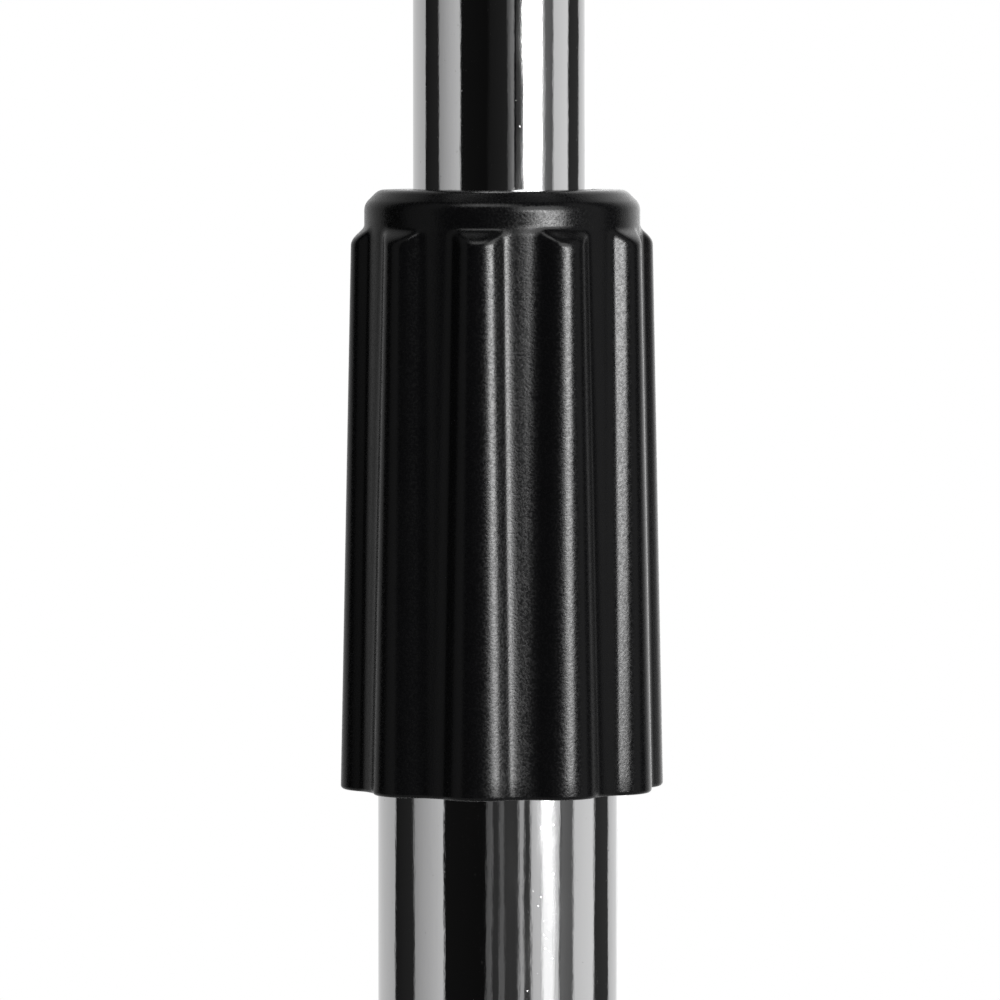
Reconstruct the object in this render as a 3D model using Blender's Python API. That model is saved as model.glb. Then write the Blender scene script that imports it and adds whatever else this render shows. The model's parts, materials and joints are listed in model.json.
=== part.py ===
"""An orchestra music stand, modelled as the separate pieces that it is assembled from.

A cast hub on three bent legs carries a telescopic chrome column. The column is held by a fluted twist
clutch, and ends in a tilting head with a one-piece sheet steel desk. Lengths are in metres and +Z is up.
The musician's side is -Y. The origin is on the floor, at the middle of the stand's bounding box.
"""

import math

import bmesh
import bpy
from mathutils import Matrix, Vector

MM = 0.001
GAP = 0.3 * MM  # clearance between pieces that touch on the bench

# Column: standard 7/8 in and 5/8 in stand tubes.
LOWER_TUBE_R = 11.1 * MM
LOWER_TUBE_BORE_R = 10.1 * MM
UPPER_TUBE_R = 7.95 * MM
UPPER_TUBE_BORE_R = 6.75 * MM
LOWER_TUBE_FOOT_Z = 64.3 * MM
UPPER_TUBE_LENGTH = 650 * MM

# Clutch, measured up from the lower rim of its grip.
CLUTCH_Z = 590 * MM
GRIP_HEIGHT = 53.4 * MM
COLLAR_R = 12.3 * MM
GROOVE_FOOT_R = 13.25 * MM
RIB_COUNT = 10
RIB_PITCH = 2 * math.pi / RIB_COUNT
RIB_PHASE = math.radians(-9.8)
RIB_HEIGHT = 1.25 * MM
RIB_ARC_R = 3.1 * MM
RIB_STEPS = [-10.5, -5.5, 0, 5.5, 10.5, 18]  # degrees from a rib's middle to its points
SHOULDER_Z = 50.0 * MM
SHOULDER_SLOPE = 1.2
TOP_ROUND = 1.8 * MM
FOOT_EDGE = 0.4 * MM
GRIP_HOLE_R = UPPER_TUBE_R + GAP
THREAD_R = LOWER_TUBE_R + 0.35 * MM
SKIRT_BORE_R = 12.2 * MM
SKIRT_DEPTH = 12 * MM
SEAT_Z = 47.7 * MM
TUBE_TOP_Z = 37.1 * MM
SEAT_FLANGE = 1.2 * MM
SEAT_DEPTH = 8 * MM
COLLET_HEIGHT = 6.4 * MM
COLLET_TAPER = 1.4 * MM
COLLET_SLIT = 1.6 * MM

# Base.
HUB_R = 27 * MM
HUB_FOOT_Z = 46 * MM
HUB_TOP_Z = 118 * MM
HUB_FLOOR_Z = LOWER_TUBE_FOOT_Z - GAP
HUB_NECK_Z = 92 * MM
HUB_NECK_RISE = 20 * MM
HUB_FLARE = 10.5 * MM
HUB_GRUB_Z = 106 * MM
HUB_GRUB_R = 3 * MM
HUB_GRUB_REACH = 17 * MM
COUNTERBORE_R = 10 * MM
COUNTERBORE_DEPTH = 7 * MM
COLUMN_BOLT_TOP_Z = 84 * MM
HEX_HEAD_R = 6.5 * MM
HEX_HEAD_HEIGHT = 5.3 * MM
PLUG_LENGTH = 18 * MM
LEG_Z = 82 * MM
LEG_WIDTH = 22 * MM
LEG_DEPTH = 12 * MM
LEG_WALL = 1.5 * MM
LEG_ROOT = 22.3 * MM
LEG_CURVE = [(60, 82), (120, 82), (190, 24), (250, 12)]  # Bezier points in mm: reach, height
LEG_STEPS = 9
LEG_AZIMUTHS = {"rear": 90, "front_right": -30, "front_left": -150}
ARM_ROOT = 16 * MM
ARM_REACH = 58 * MM
ARM_WALL = 3 * MM
SOLE_PRESS_Z = 10 * MM  # the boot's skin below this height is moulded flat on the floor
BOOT_WALL = 3 * MM
BOOT_STEPS = 2
TOE_REACH = 7.5 * MM
SCREW_REACH = 42 * MM
SCREW_R = 2.5 * MM
SCREW_LENGTH = 7.5 * MM

# Head and desk. The desk's pieces are laid out upright, with the tilt pivot at their origin.
HEAD_BARREL_R = 12 * MM
HEAD_BARREL_HALF = 14 * MM
TUBE_TO_PIVOT = 20 * MM
HEAD_SOCKET_Z = -45 * MM
HEAD_SOCKET_R = 12 * MM
HEAD_GRUB_Z = -35 * MM
HEAD_GRUB_R = 2.5 * MM
HEAD_GRUB_REACH = 12.2 * MM
PIVOT_Z = 1105 * MM
LEAN = math.radians(25)
DESK_WIDTH = 490 * MM
DESK_HALF_HEIGHT = 168 * MM
DESK_Y = -35.6 * MM
SHEET = 1.2 * MM
DESK_CORNER_R = 22 * MM
BEND_R = 3 * MM
RIM_DEPTH = 9 * MM
LEDGE_DEPTH = 58 * MM
CURB_HEIGHT = 12 * MM
SLOT_WIDTH = 11 * MM
SLOT_LENGTH = 74 * MM
SLOT_COLUMNS = 5
SLOT_PITCH = 33 * MM
SLOT_FIRST_X = 74 * MM
SLOT_ROW_Z = 56 * MM
BRACKET_SHEET = 2.5 * MM
BRACKET_HALF_WIDTH = 42 * MM
BRACKET_HALF_HEIGHT = 60 * MM
BRACKET_CORNER_R = 8 * MM
EAR_EYE_R = 12.5 * MM
EAR_ROOT_HALF = 40 * MM
RIVET_X = 30 * MM
RIVET_Z = 46 * MM
RIVET_R = 2.1 * MM
WASHER_THICKNESS = 1.5 * MM
STEEL_WASHER_R = 9 * MM
FRICTION_WASHER_R = 11.5 * MM
BOLT_R = 4 * MM
BOLT_HOLE_R = 4.4 * MM
BOLT_HEAD_R = 8.5 * MM
EAR_INNER_X = HEAD_BARREL_HALF + WASHER_THICKNESS + 2 * GAP
EAR_OUTER_X = EAR_INNER_X + BRACKET_SHEET
KNOB_X = EAR_OUTER_X + WASHER_THICKNESS + 2 * GAP
KNOB_R = 19 * MM
KNOB_LENGTH = 20 * MM
KNOB_BORE_R = 6.6 * MM
KNOB_BORE_DEPTH = 15 * MM
KNOB_LOBES = 5
KNOB_LOBE = 1.8 * MM
NUT_LENGTH = 12 * MM


# ---------------------------------------------------------------- scene and mesh tools


def clear_scene():
    for obj in list(bpy.data.objects):
        bpy.data.objects.remove(obj)


def finish(name, color, roughness, metallic=0.0):
    material = bpy.data.materials.new(name)
    material.use_nodes = True
    shader = material.node_tree.nodes["Principled BSDF"]
    shader.inputs["Base Color"].default_value = (*color, 1.0)
    shader.inputs["Roughness"].default_value = roughness
    shader.inputs["Metallic"].default_value = metallic
    return material


def frame(name, location=(0, 0, 0), parent=None, rotation=(0, 0, 0)):
    """An empty that pieces are parented to, standing for a place or a joint."""
    empty = bpy.data.objects.new(name, None)
    bpy.context.scene.collection.objects.link(empty)
    empty.location = location
    empty.rotation_euler = rotation
    empty.parent = parent
    return empty


def piece(name, mesh_data, material, parent, azimuth=0.0):
    mesh = bpy.data.meshes.new(name)
    mesh_data.to_mesh(mesh)
    mesh_data.free()
    mesh.shade_smooth()
    mesh.set_sharp_from_angle(angle=math.radians(35))
    mesh.materials.append(material)
    obj = bpy.data.objects.new(name, mesh)
    bpy.context.scene.collection.objects.link(obj)
    obj.parent = parent
    obj.rotation_euler = (0, 0, azimuth)
    return obj


def shape(obj, operation, mesh_data):
    """Cuts a helper shape out of obj, or joins it on. The helper shares obj's parent and rotation."""
    mesh = bpy.data.meshes.new(obj.name + "_helper")
    mesh_data.to_mesh(mesh)
    mesh_data.free()
    helper = bpy.data.objects.new(mesh.name, mesh)
    bpy.context.scene.collection.objects.link(helper)
    helper.parent = obj.parent
    helper.rotation_euler = obj.rotation_euler
    helper.hide_render = True
    helper.display_type = "WIRE"
    modifier = obj.modifiers.new(operation.lower(), "BOOLEAN")
    modifier.operation = operation
    modifier.object = helper
    return obj


def cut(obj, mesh_data):
    return shape(obj, "DIFFERENCE", mesh_data)


def join(obj, mesh_data):
    return shape(obj, "UNION", mesh_data)


def skin(rings, ends):
    """A closed skin over rings of points. Ends are "capped", or "joined" where the last ring meets the first."""
    bm = bmesh.new()
    loops = [[bm.verts.new(point) for point in ring] for ring in rings]
    following = loops[1:] + (loops[:1] if ends == "joined" else [])
    for lower, upper in zip(loops, following):
        for i in range(len(lower)):
            j = (i + 1) % len(lower)
            bm.faces.new((lower[i], lower[j], upper[j], upper[i]))
    if ends == "capped":
        bm.faces.new(loops[0][::-1])
        bm.faces.new(loops[-1])
    bmesh.ops.recalc_face_normals(bm, faces=bm.faces)
    return bm


def circle(radius, height, sides):
    turn = 2 * math.pi / sides
    return [(radius * math.cos(i * turn), radius * math.sin(i * turn), height) for i in range(sides)]


def turned(profile, sides=24, ends="joined"):
    """A turned solid about Z. The profile is (radius, height) points: a closed loop for a ring."""
    return skin([circle(radius, height, sides) for radius, height in profile], ends)


def rod(radius, low, high, sides=16):
    return turned([(radius, low), (radius, high)], sides, "capped")


def ring(inner, outer, low, high, sides=24):
    return turned([(inner, low), (outer, low), (outer, high), (inner, high)], sides)


def along_x(mesh_data):
    """Turns a shape made about +Z so that it lies along +X."""
    mesh_data.transform(Matrix.Rotation(math.pi / 2, 4, "Y"))
    return mesh_data


def along_y(mesh_data):
    """Turns a shape made about +Z so that it lies along +Y."""
    mesh_data.transform(Matrix.Rotation(-math.pi / 2, 4, "X"))
    return mesh_data


def moved(mesh_data, x=0.0, y=0.0, z=0.0):
    mesh_data.transform(Matrix.Translation((x, y, z)))
    return mesh_data


def merged(shapes):
    """One mesh that holds several separate bodies."""
    whole = bmesh.new()
    for mesh_data in shapes:
        mesh = bpy.data.meshes.new("part_of_group")
        mesh_data.to_mesh(mesh)
        mesh_data.free()
        whole.from_mesh(mesh)
        bpy.data.meshes.remove(mesh)
    return whole


def extruded(outline, low, high):
    """A prism between two heights along Z, from (x, y) points."""
    return skin([[(x, y, z) for x, y in outline] for z in (low, high)], "capped")


def arc(center, radius, start, end, steps):
    """Points on an arc from start to end, in degrees."""
    angles = [math.radians(start + (end - start) * i / steps) for i in range(steps + 1)]
    return [(center[0] + radius * math.cos(a), center[1] + radius * math.sin(a)) for a in angles]


def rounded_rectangle(half_width, half_height, radius, steps=4):
    corners = [(1, 1, 0), (-1, 1, 90), (-1, -1, 180), (1, -1, 270)]
    points = []
    for side_x, side_y, start in corners:
        center = (side_x * (half_width - radius), side_y * (half_height - radius))
        points += arc(center, radius, start, start + 90, steps)
    return points


def stadium(width, depth, steps=6):
    """A flat oval of (across, up) points, as wide and deep as given."""
    radius = depth / 2
    reach = width / 2 - radius
    return arc((reach, 0), radius, -90, 90, steps) + arc((-reach, 0), radius, 90, 270, steps)


# ---------------------------------------------------------------- base


def bezier(points, share):
    weights = [(1 - share) ** 3, 3 * (1 - share) ** 2 * share, 3 * (1 - share) * share**2, share**3]
    return sum((Vector(p) * w for p, w in zip(points, weights)), Vector((0, 0)))


def leg_stations():
    """(reach, height) of the leg's centreline from the hub to the tip, and the way it runs there."""
    curve = [bezier(LEG_CURVE, i / LEG_STEPS) * MM for i in range(LEG_STEPS + 1)]
    places = [Vector((LEG_ROOT, LEG_Z)), *curve]
    ways = [Vector((1, 0)), Vector((1, 0))]
    ways += [(places[i + 1] - places[i - 1]).normalized() for i in range(2, len(places) - 1)]
    ways.append((places[-1] - places[-2]).normalized())
    return list(zip(places, ways))


def leg_ring(station, width, depth):
    (reach, height), (run, rise) = station
    return [(reach - up * rise, across, height + up * run) for across, up in stadium(width, depth)]


def leg_tube(station_list, width, depth):
    return skin([leg_ring(station, width, depth) for station in station_list], "capped")


def make_leg(name, azimuth, parent, material):
    stations = leg_stations()
    outer = [leg_ring(s, LEG_WIDTH, LEG_DEPTH) for s in stations]
    inner = [leg_ring(s, LEG_WIDTH - 2 * LEG_WALL, LEG_DEPTH - 2 * LEG_WALL) for s in stations]
    leg = piece(name, skin(outer + inner[::-1], "joined"), material, parent, azimuth)
    cut(leg, moved(rod(SCREW_R + GAP, LEG_Z - LEG_DEPTH, LEG_Z - 2 * MM, 12), x=SCREW_REACH))


def make_boot(name, azimuth, parent, material):
    stations = leg_stations()
    tip, way = stations[-1]
    width, depth = LEG_WIDTH + 2 * BOOT_WALL, LEG_DEPTH + 2 * BOOT_WALL
    sleeve = [leg_ring(s, width, depth) for s in stations[-1 - BOOT_STEPS :]]
    sleeve.append(leg_ring((tip + way * 5 * MM, way), width, depth))
    sleeve.append(leg_ring((tip + way * TOE_REACH, way), width * 0.86, depth * 0.8))
    pressed = [[(x, y, 0.0 if z < SOLE_PRESS_Z else z) for x, y, z in points] for points in sleeve]
    boot = piece(name, skin(pressed, "capped"), material, parent, azimuth)
    pocket = stations[-2 - BOOT_STEPS :] + [(tip + way * GAP, way)]
    cut(boot, leg_tube(pocket, LEG_WIDTH + 2 * GAP, LEG_DEPTH + 2 * GAP))


def hub_profile():
    """The hub's turned outline: a drum that flares into a slim neck round the column's bore."""
    bore = LOWER_TUBE_R + GAP
    neck = []
    for a in map(math.radians, (0, 30, 60, 90)):
        neck.append((HUB_R - HUB_FLARE * math.sin(a), HUB_NECK_Z + HUB_NECK_RISE * (1 - math.cos(a))))
    return [
        (bore, HUB_FLOOR_Z),
        (bore, HUB_TOP_Z),
        (HUB_R - HUB_FLARE - 1 * MM, HUB_TOP_Z),
        (HUB_R - HUB_FLARE, HUB_TOP_Z - 1 * MM),
        *reversed(neck),
        (HUB_R, HUB_FOOT_Z + 8 * MM),
        (HUB_R - 2 * MM, HUB_FOOT_Z + 2 * MM),
        (HUB_R - 4 * MM, HUB_FOOT_Z),
    ]


def make_hub(parent, material):
    rings = [circle(radius, height, 36) for radius, height in hub_profile()]
    hub = piece("hub", skin(rings, "capped"), material, parent)
    arm_width, arm_depth = LEG_WIDTH + 2 * ARM_WALL, LEG_DEPTH + 2 * ARM_WALL
    level = Vector((1, 0))
    for degrees in LEG_AZIMUTHS.values():
        turn = Matrix.Rotation(math.radians(degrees), 4, "Z")
        arm_ends = [(Vector((reach, LEG_Z)), level) for reach in (ARM_ROOT, ARM_REACH)]
        arm = leg_tube(arm_ends, arm_width, arm_depth)
        arm.transform(turn)
        join(hub, arm)
    for degrees in LEG_AZIMUTHS.values():
        turn = Matrix.Rotation(math.radians(degrees), 4, "Z")
        socket_ends = [(Vector((reach, LEG_Z)), level) for reach in (LEG_ROOT - GAP, ARM_REACH + 10 * MM)]
        socket = leg_tube(socket_ends, LEG_WIDTH + 2 * GAP, LEG_DEPTH + 2 * GAP)
        socket.transform(turn)
        cut(hub, socket)
        hole = moved(rod(SCREW_R + GAP, LEG_Z - 16 * MM, LEG_Z, 12), x=SCREW_REACH)
        hole.transform(turn)
        cut(hub, hole)
    cut(hub, rod(BOLT_HOLE_R, HUB_FOOT_Z - 5 * MM, HUB_FLOOR_Z + 5 * MM))
    cut(hub, rod(COUNTERBORE_R, HUB_FOOT_Z - 5 * MM, HUB_FOOT_Z + COUNTERBORE_DEPTH))
    cut(hub, moved(along_y(rod(HUB_GRUB_R + GAP, -HUB_R, -LOWER_TUBE_R, 16)), z=HUB_GRUB_Z))


def leg_screw():
    """A button-head screw, driven upwards through the hub's arm into the leg."""
    head_z = LEG_Z - LEG_DEPTH / 2 - ARM_WALL - GAP
    dome = [(2.6 * MM, -2.6 * MM), (4.2 * MM, -1.6 * MM), (4.8 * MM, 0)]
    shank = [(SCREW_R, 0), (SCREW_R, SCREW_LENGTH)]
    return turned([(r, head_z + z) for r, z in dome + shank], 16, "capped")


def make_base(stand, paint, rubber, steel):
    for place, degrees in LEG_AZIMUTHS.items():
        azimuth = math.radians(degrees)
        make_leg("leg_" + place, azimuth, stand, paint)
        make_boot("foot_" + place, azimuth, stand, rubber)
        piece("leg_screw_" + place, moved(leg_screw(), x=SCREW_REACH), steel, stand, azimuth)
    make_hub(stand, paint)
    grub = moved(along_y(rod(HUB_GRUB_R, -HUB_GRUB_REACH, -LOWER_TUBE_R - GAP, 16)), z=HUB_GRUB_Z)
    piece("hub_grub_screw", grub, steel, stand)
    washer_z = HUB_FOOT_Z + COUNTERBORE_DEPTH - GAP - WASHER_THICKNESS
    washer = ring(BOLT_HOLE_R, STEEL_WASHER_R, washer_z, washer_z + WASHER_THICKNESS)
    piece("column_washer", washer, steel, stand)
    head_z = washer_z - GAP
    bolt = piece("column_bolt", rod(HEX_HEAD_R, head_z - HEX_HEAD_HEIGHT, head_z, 6), steel, stand)
    join(bolt, rod(BOLT_R, head_z - 1 * MM, COLUMN_BOLT_TOP_Z))


# ---------------------------------------------------------------- column and clutch


def make_lower_column(stand, clutch, chrome, steel, nylon):
    top = CLUTCH_Z + TUBE_TOP_Z
    tube = ring(LOWER_TUBE_BORE_R, LOWER_TUBE_R, LOWER_TUBE_FOOT_Z, top, 40)
    piece("lower_tube", tube, chrome, stand)
    plug_low = LOWER_TUBE_FOOT_Z + GAP
    plug = ring(BOLT_HOLE_R, LOWER_TUBE_BORE_R - GAP, plug_low, plug_low + PLUG_LENGTH)
    piece("tube_thread_plug", plug, steel, stand)
    bore = UPPER_TUBE_R + GAP
    flange_z = TUBE_TOP_Z + GAP
    seat = [
        (bore, TUBE_TOP_Z - SEAT_DEPTH),
        (LOWER_TUBE_BORE_R - GAP, TUBE_TOP_Z - SEAT_DEPTH),
        (LOWER_TUBE_BORE_R - GAP, flange_z),
        (LOWER_TUBE_R, flange_z),
        (LOWER_TUBE_R, flange_z + SEAT_FLANGE),
        (bore, flange_z + SEAT_FLANGE),
    ]
    piece("collet_seat", turned(seat), steel, clutch)
    collet_z = flange_z + SEAT_FLANGE + GAP
    collet_top = collet_z + COLLET_HEIGHT
    waist = [
        (bore, collet_z),
        (LOWER_TUBE_R - COLLET_TAPER, collet_z),
        (LOWER_TUBE_R, collet_z + 2 * MM),
        (LOWER_TUBE_R, collet_top - 2 * MM),
        (LOWER_TUBE_R - COLLET_TAPER, collet_top),
        (bore, collet_top),
    ]
    collet = piece("split_collet", turned(waist), nylon, clutch)
    half, near, far = COLLET_SLIT / 2, bore / 2, LOWER_TUBE_R + 4 * MM
    slit = [(-half, near), (half, near), (half, far), (-half, far)]
    cut(collet, extruded(slit, collet_z - 1 * MM, collet_top + 1 * MM))
    thrust = ring(bore, LOWER_TUBE_R, collet_top + GAP, SEAT_Z - GAP)
    piece("thrust_ring", thrust, steel, clutch)


def grip_radius(angle, height):
    """The grip's outer radius: tapering groove floors, and ribs with an arc section and sloped upper ends."""
    taper = min(height / SHOULDER_Z, 1.0)
    floor = GROOVE_FOOT_R + (COLLAR_R - GROOVE_FOOT_R) * taper
    offset = (angle - RIB_PHASE + RIB_PITCH / 2) % RIB_PITCH - RIB_PITCH / 2
    across = floor * offset
    crest = math.sqrt(max(RIB_ARC_R**2 - across**2, 0.0)) - (RIB_ARC_R - RIB_HEIGHT)
    slope = (SHOULDER_Z - height) * SHOULDER_SLOPE
    return floor + max(0.0, min(crest, slope))


def grip_ring(height, inset=0.0, radius=None):
    """A ring of the grip. Angles run from -Y towards +X, closer together over each rib than in the grooves."""
    points = []
    for rib in range(RIB_COUNT):
        for step in map(math.radians, RIB_STEPS):
            angle = RIB_PHASE + rib * RIB_PITCH + step
            size = radius or grip_radius(angle, height) - inset
            points.append((size * math.sin(angle), -size * math.cos(angle), height))
    return points


def make_grip(clutch, paint):
    crest_z = SHOULDER_Z - RIB_HEIGHT / SHOULDER_SLOPE
    outside = [grip_ring(0, FOOT_EDGE), grip_ring(FOOT_EDGE)]
    outside += [grip_ring(z) for z in (24 * MM, crest_z - 1.5 * MM, crest_z, SHOULDER_Z)]
    for degrees in (0, 30, 60, 90):
        a = math.radians(degrees)
        outside.append(grip_ring(GRIP_HEIGHT - TOP_ROUND * (1 - math.sin(a)), TOP_ROUND * (1 - math.cos(a))))
    inside = [
        grip_ring(GRIP_HEIGHT, radius=GRIP_HOLE_R),
        grip_ring(SEAT_Z, radius=GRIP_HOLE_R),
        grip_ring(SEAT_Z, radius=THREAD_R),
        grip_ring(SKIRT_DEPTH, radius=THREAD_R),
        grip_ring(SKIRT_DEPTH - 1 * MM, radius=SKIRT_BORE_R),
        grip_ring(0, radius=SKIRT_BORE_R),
    ]
    piece("clutch_grip", skin(outside + inside, "joined"), paint, clutch)


def make_upper_column(stand, chrome, nylon):
    """The sliding tube, with a bush that guides its lower end between a rolled bead and the end plug's flange."""
    top = PIVOT_Z - TUBE_TO_PIVOT
    low = top - UPPER_TUBE_LENGTH
    bead_z = low + 36 * MM
    bead_r = UPPER_TUBE_R + 0.9 * MM
    tube = [
        (UPPER_TUBE_BORE_R, low),
        (UPPER_TUBE_R, low),
        (UPPER_TUBE_R, bead_z),
        (bead_r, bead_z + 0.9 * MM),
        (bead_r, bead_z + 1.6 * MM),
        (UPPER_TUBE_R, bead_z + 2.5 * MM),
        (UPPER_TUBE_R, top),
        (UPPER_TUBE_BORE_R, top),
    ]
    piece("upper_tube", turned(tube, 32), chrome, stand)
    flange_r = LOWER_TUBE_BORE_R - 0.6 * MM
    stem_r = UPPER_TUBE_BORE_R - GAP
    plug = [
        (flange_r - 1 * MM, low - 3.3 * MM),
        (flange_r, low - 2.3 * MM),
        (flange_r, low - GAP),
        (stem_r, low - GAP),
        (stem_r, low + 12 * MM),
        (stem_r - 1 * MM, low + 13 * MM),
    ]
    piece("tube_end_plug", turned(plug, 24, "capped"), nylon, stand)
    bush = ring(UPPER_TUBE_R + GAP, LOWER_TUBE_BORE_R - GAP, low + GAP, bead_z - GAP)
    piece("guide_bush", bush, nylon, stand)


# ---------------------------------------------------------------- tilting head


def make_head(pivot, paint, steel):
    """A cast socket on the tube's end, with a level barrel for the pivot bolt."""
    bore = UPPER_TUBE_R + GAP
    profile = [
        (bore, -TUBE_TO_PIVOT + GAP),
        (bore, HEAD_SOCKET_Z),
        (HEAD_SOCKET_R - 1 * MM, HEAD_SOCKET_Z),
        (HEAD_SOCKET_R, HEAD_SOCKET_Z + 1 * MM),
        (HEAD_SOCKET_R, -TUBE_TO_PIVOT - 4 * MM),
        (HEAD_SOCKET_R - 1.5 * MM, -TUBE_TO_PIVOT + 4 * MM),
        (HEAD_SOCKET_R - 2 * MM, -2 * MM),
    ]
    head = piece("tilt_head", turned(profile, 32, "capped"), paint, pivot)
    join(head, along_x(rod(HEAD_BARREL_R, -HEAD_BARREL_HALF, HEAD_BARREL_HALF, 32)))
    cut(head, along_x(rod(BOLT_HOLE_R, -20 * MM, 20 * MM)))
    cut(head, moved(along_y(rod(HEAD_GRUB_R + GAP, UPPER_TUBE_R, 20 * MM, 16)), z=HEAD_GRUB_Z))
    grub = moved(along_y(rod(HEAD_GRUB_R, bore, HEAD_GRUB_REACH, 16)), z=HEAD_GRUB_Z)
    piece("head_grub_screw", grub, steel, pivot)


def make_pivot_hardware(desk, steel, fibre):
    """A round-head bolt through both ears, and the washers that the knob squeezes."""
    low = HEAD_BARREL_HALF + GAP
    for side, place in ((-1, "left"), (1, "right")):
        start = low if side > 0 else -low - WASHER_THICKNESS
        washer = along_x(ring(BOLT_HOLE_R, FRICTION_WASHER_R, start, start + WASHER_THICKNESS))
        piece("friction_washer_" + place, washer, fibre, desk)
    head_x = -EAR_OUTER_X - GAP
    bolt = [
        (3 * MM, head_x - 4.2 * MM),
        (6.5 * MM, head_x - 3.2 * MM),
        (BOLT_HEAD_R, head_x - 1 * MM),
        (BOLT_HEAD_R, head_x),
        (BOLT_R, head_x),
        (BOLT_R, KNOB_X + KNOB_BORE_DEPTH - 1.5 * MM),
    ]
    piece("pivot_bolt", along_x(turned(bolt, 16, "capped")), steel, desk)
    start = EAR_OUTER_X + GAP
    washer = along_x(ring(BOLT_HOLE_R, STEEL_WASHER_R, start, start + WASHER_THICKNESS))
    piece("knob_washer", washer, steel, desk)


def knob_ring(height, size, lobe):
    sides = 6 * KNOB_LOBES
    points = []
    for i in range(sides):
        angle = 2 * math.pi * i / sides
        radius = size + lobe * math.cos(KNOB_LOBES * angle)
        points.append((radius * math.cos(angle), radius * math.sin(angle), height))
    return points


def make_knob(desk, plastic, brass):
    """A lobed clamping knob with a brass nut moulded into its blind bore."""
    low = KNOB_X
    face, crown = low + 5 * MM, low + KNOB_LENGTH
    mean, lobe = KNOB_R - KNOB_LOBE, KNOB_LOBE
    rings = [
        knob_ring(low + KNOB_BORE_DEPTH, KNOB_BORE_R, 0),
        knob_ring(low, KNOB_BORE_R, 0),
        knob_ring(low, 9 * MM, 0),
        knob_ring(face - 1 * MM, 10 * MM, 0),
        knob_ring(face, mean - 2 * MM, lobe),
        knob_ring(face + 1.5 * MM, mean, lobe),
        knob_ring(crown - 2.5 * MM, mean, lobe),
        knob_ring(crown, mean - 2.5 * MM, lobe * 0.7),
    ]
    piece("tilt_knob", along_x(skin(rings, "capped")), plastic, desk)
    nut = ring(BOLT_HOLE_R, KNOB_BORE_R - GAP, low + GAP, low + NUT_LENGTH)
    piece("knob_insert", along_x(nut), brass, desk)


# ---------------------------------------------------------------- desk


def bracket_ear(side):
    """A side ear of the bracket: a teardrop that runs from the plate to a round eye at the pivot."""
    plate_y = DESK_Y + SHEET / 2 + GAP + BRACKET_SHEET - 1 * MM
    outline = [(plate_y, -EAR_ROOT_HALF), *arc((0, 0), EAR_EYE_R, -72, 72, 8), (plate_y, EAR_ROOT_HALF)]
    ear = extruded([(-z, y) for y, z in outline], EAR_INNER_X, EAR_OUTER_X)
    along_x(ear)
    if side < 0:
        ear.transform(Matrix.Rotation(math.pi, 4, "Y"))
    return ear


def make_bracket(desk, paint):
    """A stamped bracket: a plate behind the desk, with an ear bent back on each side of the head."""
    low = -(DESK_Y + SHEET / 2 + GAP) - BRACKET_SHEET
    outline = rounded_rectangle(BRACKET_HALF_WIDTH, BRACKET_HALF_HEIGHT, BRACKET_CORNER_R)
    plate = extruded(outline, low, low + BRACKET_SHEET)
    plate.transform(Matrix.Rotation(math.pi / 2, 4, "X"))
    bracket = piece("desk_bracket", plate, paint, desk)
    for side in (-1, 1):
        join(bracket, bracket_ear(side))
    cut(bracket, along_x(rod(BOLT_HOLE_R, -30 * MM, 30 * MM)))
    cut(bracket, rivet_holes())


def rivet_places():
    sides = {"left": -RIVET_X, "right": RIVET_X}
    rows = {"lower": -RIVET_Z, "upper": RIVET_Z}
    return {f"{row}_{side}": (x, z) for side, x in sides.items() for row, z in rows.items()}


def rivet_holes():
    drill = (RIVET_R + GAP, -50 * MM, -20 * MM, 12)
    return merged([moved(along_y(rod(*drill)), x=x, z=z) for x, z in rivet_places().values()])


def make_rivets(desk, steel):
    """Domed rivets that clamp the bracket to the desk. Their heads show on the musician's side."""
    front = DESK_Y - SHEET / 2 - GAP
    back = DESK_Y + SHEET / 2 + GAP + BRACKET_SHEET + GAP
    profile = [
        (1.6 * MM, front - 1.5 * MM),
        (3.6 * MM, front - 1.1 * MM),
        (4.8 * MM, front),
        (RIVET_R, front),
        (RIVET_R, back),
        (3.4 * MM, back),
        (3.4 * MM, back + 1.2 * MM),
    ]
    for place, (x, z) in rivet_places().items():
        rivet = moved(along_y(turned(profile, 12, "capped")), x=x, z=z)
        piece("bracket_rivet_" + place, rivet, steel, desk)


def desk_outline(offset):
    """The desk's left, top and right edges as (x, z) points, grown outwards by offset."""
    half = DESK_WIDTH / 2 - BEND_R
    top = DESK_HALF_HEIGHT - BEND_R
    center_x, center_z = half - DESK_CORNER_R, top - DESK_CORNER_R
    radius = DESK_CORNER_R + offset
    right = [(half + offset, -DESK_HALF_HEIGHT), *arc((center_x, center_z), radius, 0, 90, 6)]
    return right + [(-x, z) for x, z in reversed(right)]


def ledge_section():
    """(y, z) points of the desk's lower edge: a bend, the ledge, a bend and the curb that keeps pages in."""
    inner = arc((DESK_Y - BEND_R, -DESK_HALF_HEIGHT), BEND_R, 0, -90, 3)
    curb_y = DESK_Y - LEDGE_DEPTH
    ledge_z = -DESK_HALF_HEIGHT - BEND_R
    outer = arc((curb_y + BEND_R, ledge_z + BEND_R), BEND_R, 270, 180, 3)
    return [*inner, *outer, (curb_y, ledge_z + CURB_HEIGHT)]


def slot(x, z):
    """A vertical vent slot's cutter, through the sheet."""
    reach = (SLOT_LENGTH - SLOT_WIDTH) / 2
    radius = SLOT_WIDTH / 2
    outline = arc((x, z + reach), radius, 0, 180, 5) + arc((x, z - reach), radius, 180, 360, 5)
    cutter = extruded(outline, -DESK_Y - 5 * MM, -DESK_Y + 5 * MM)
    cutter.transform(Matrix.Rotation(math.pi / 2, 4, "X"))
    return cutter


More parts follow.
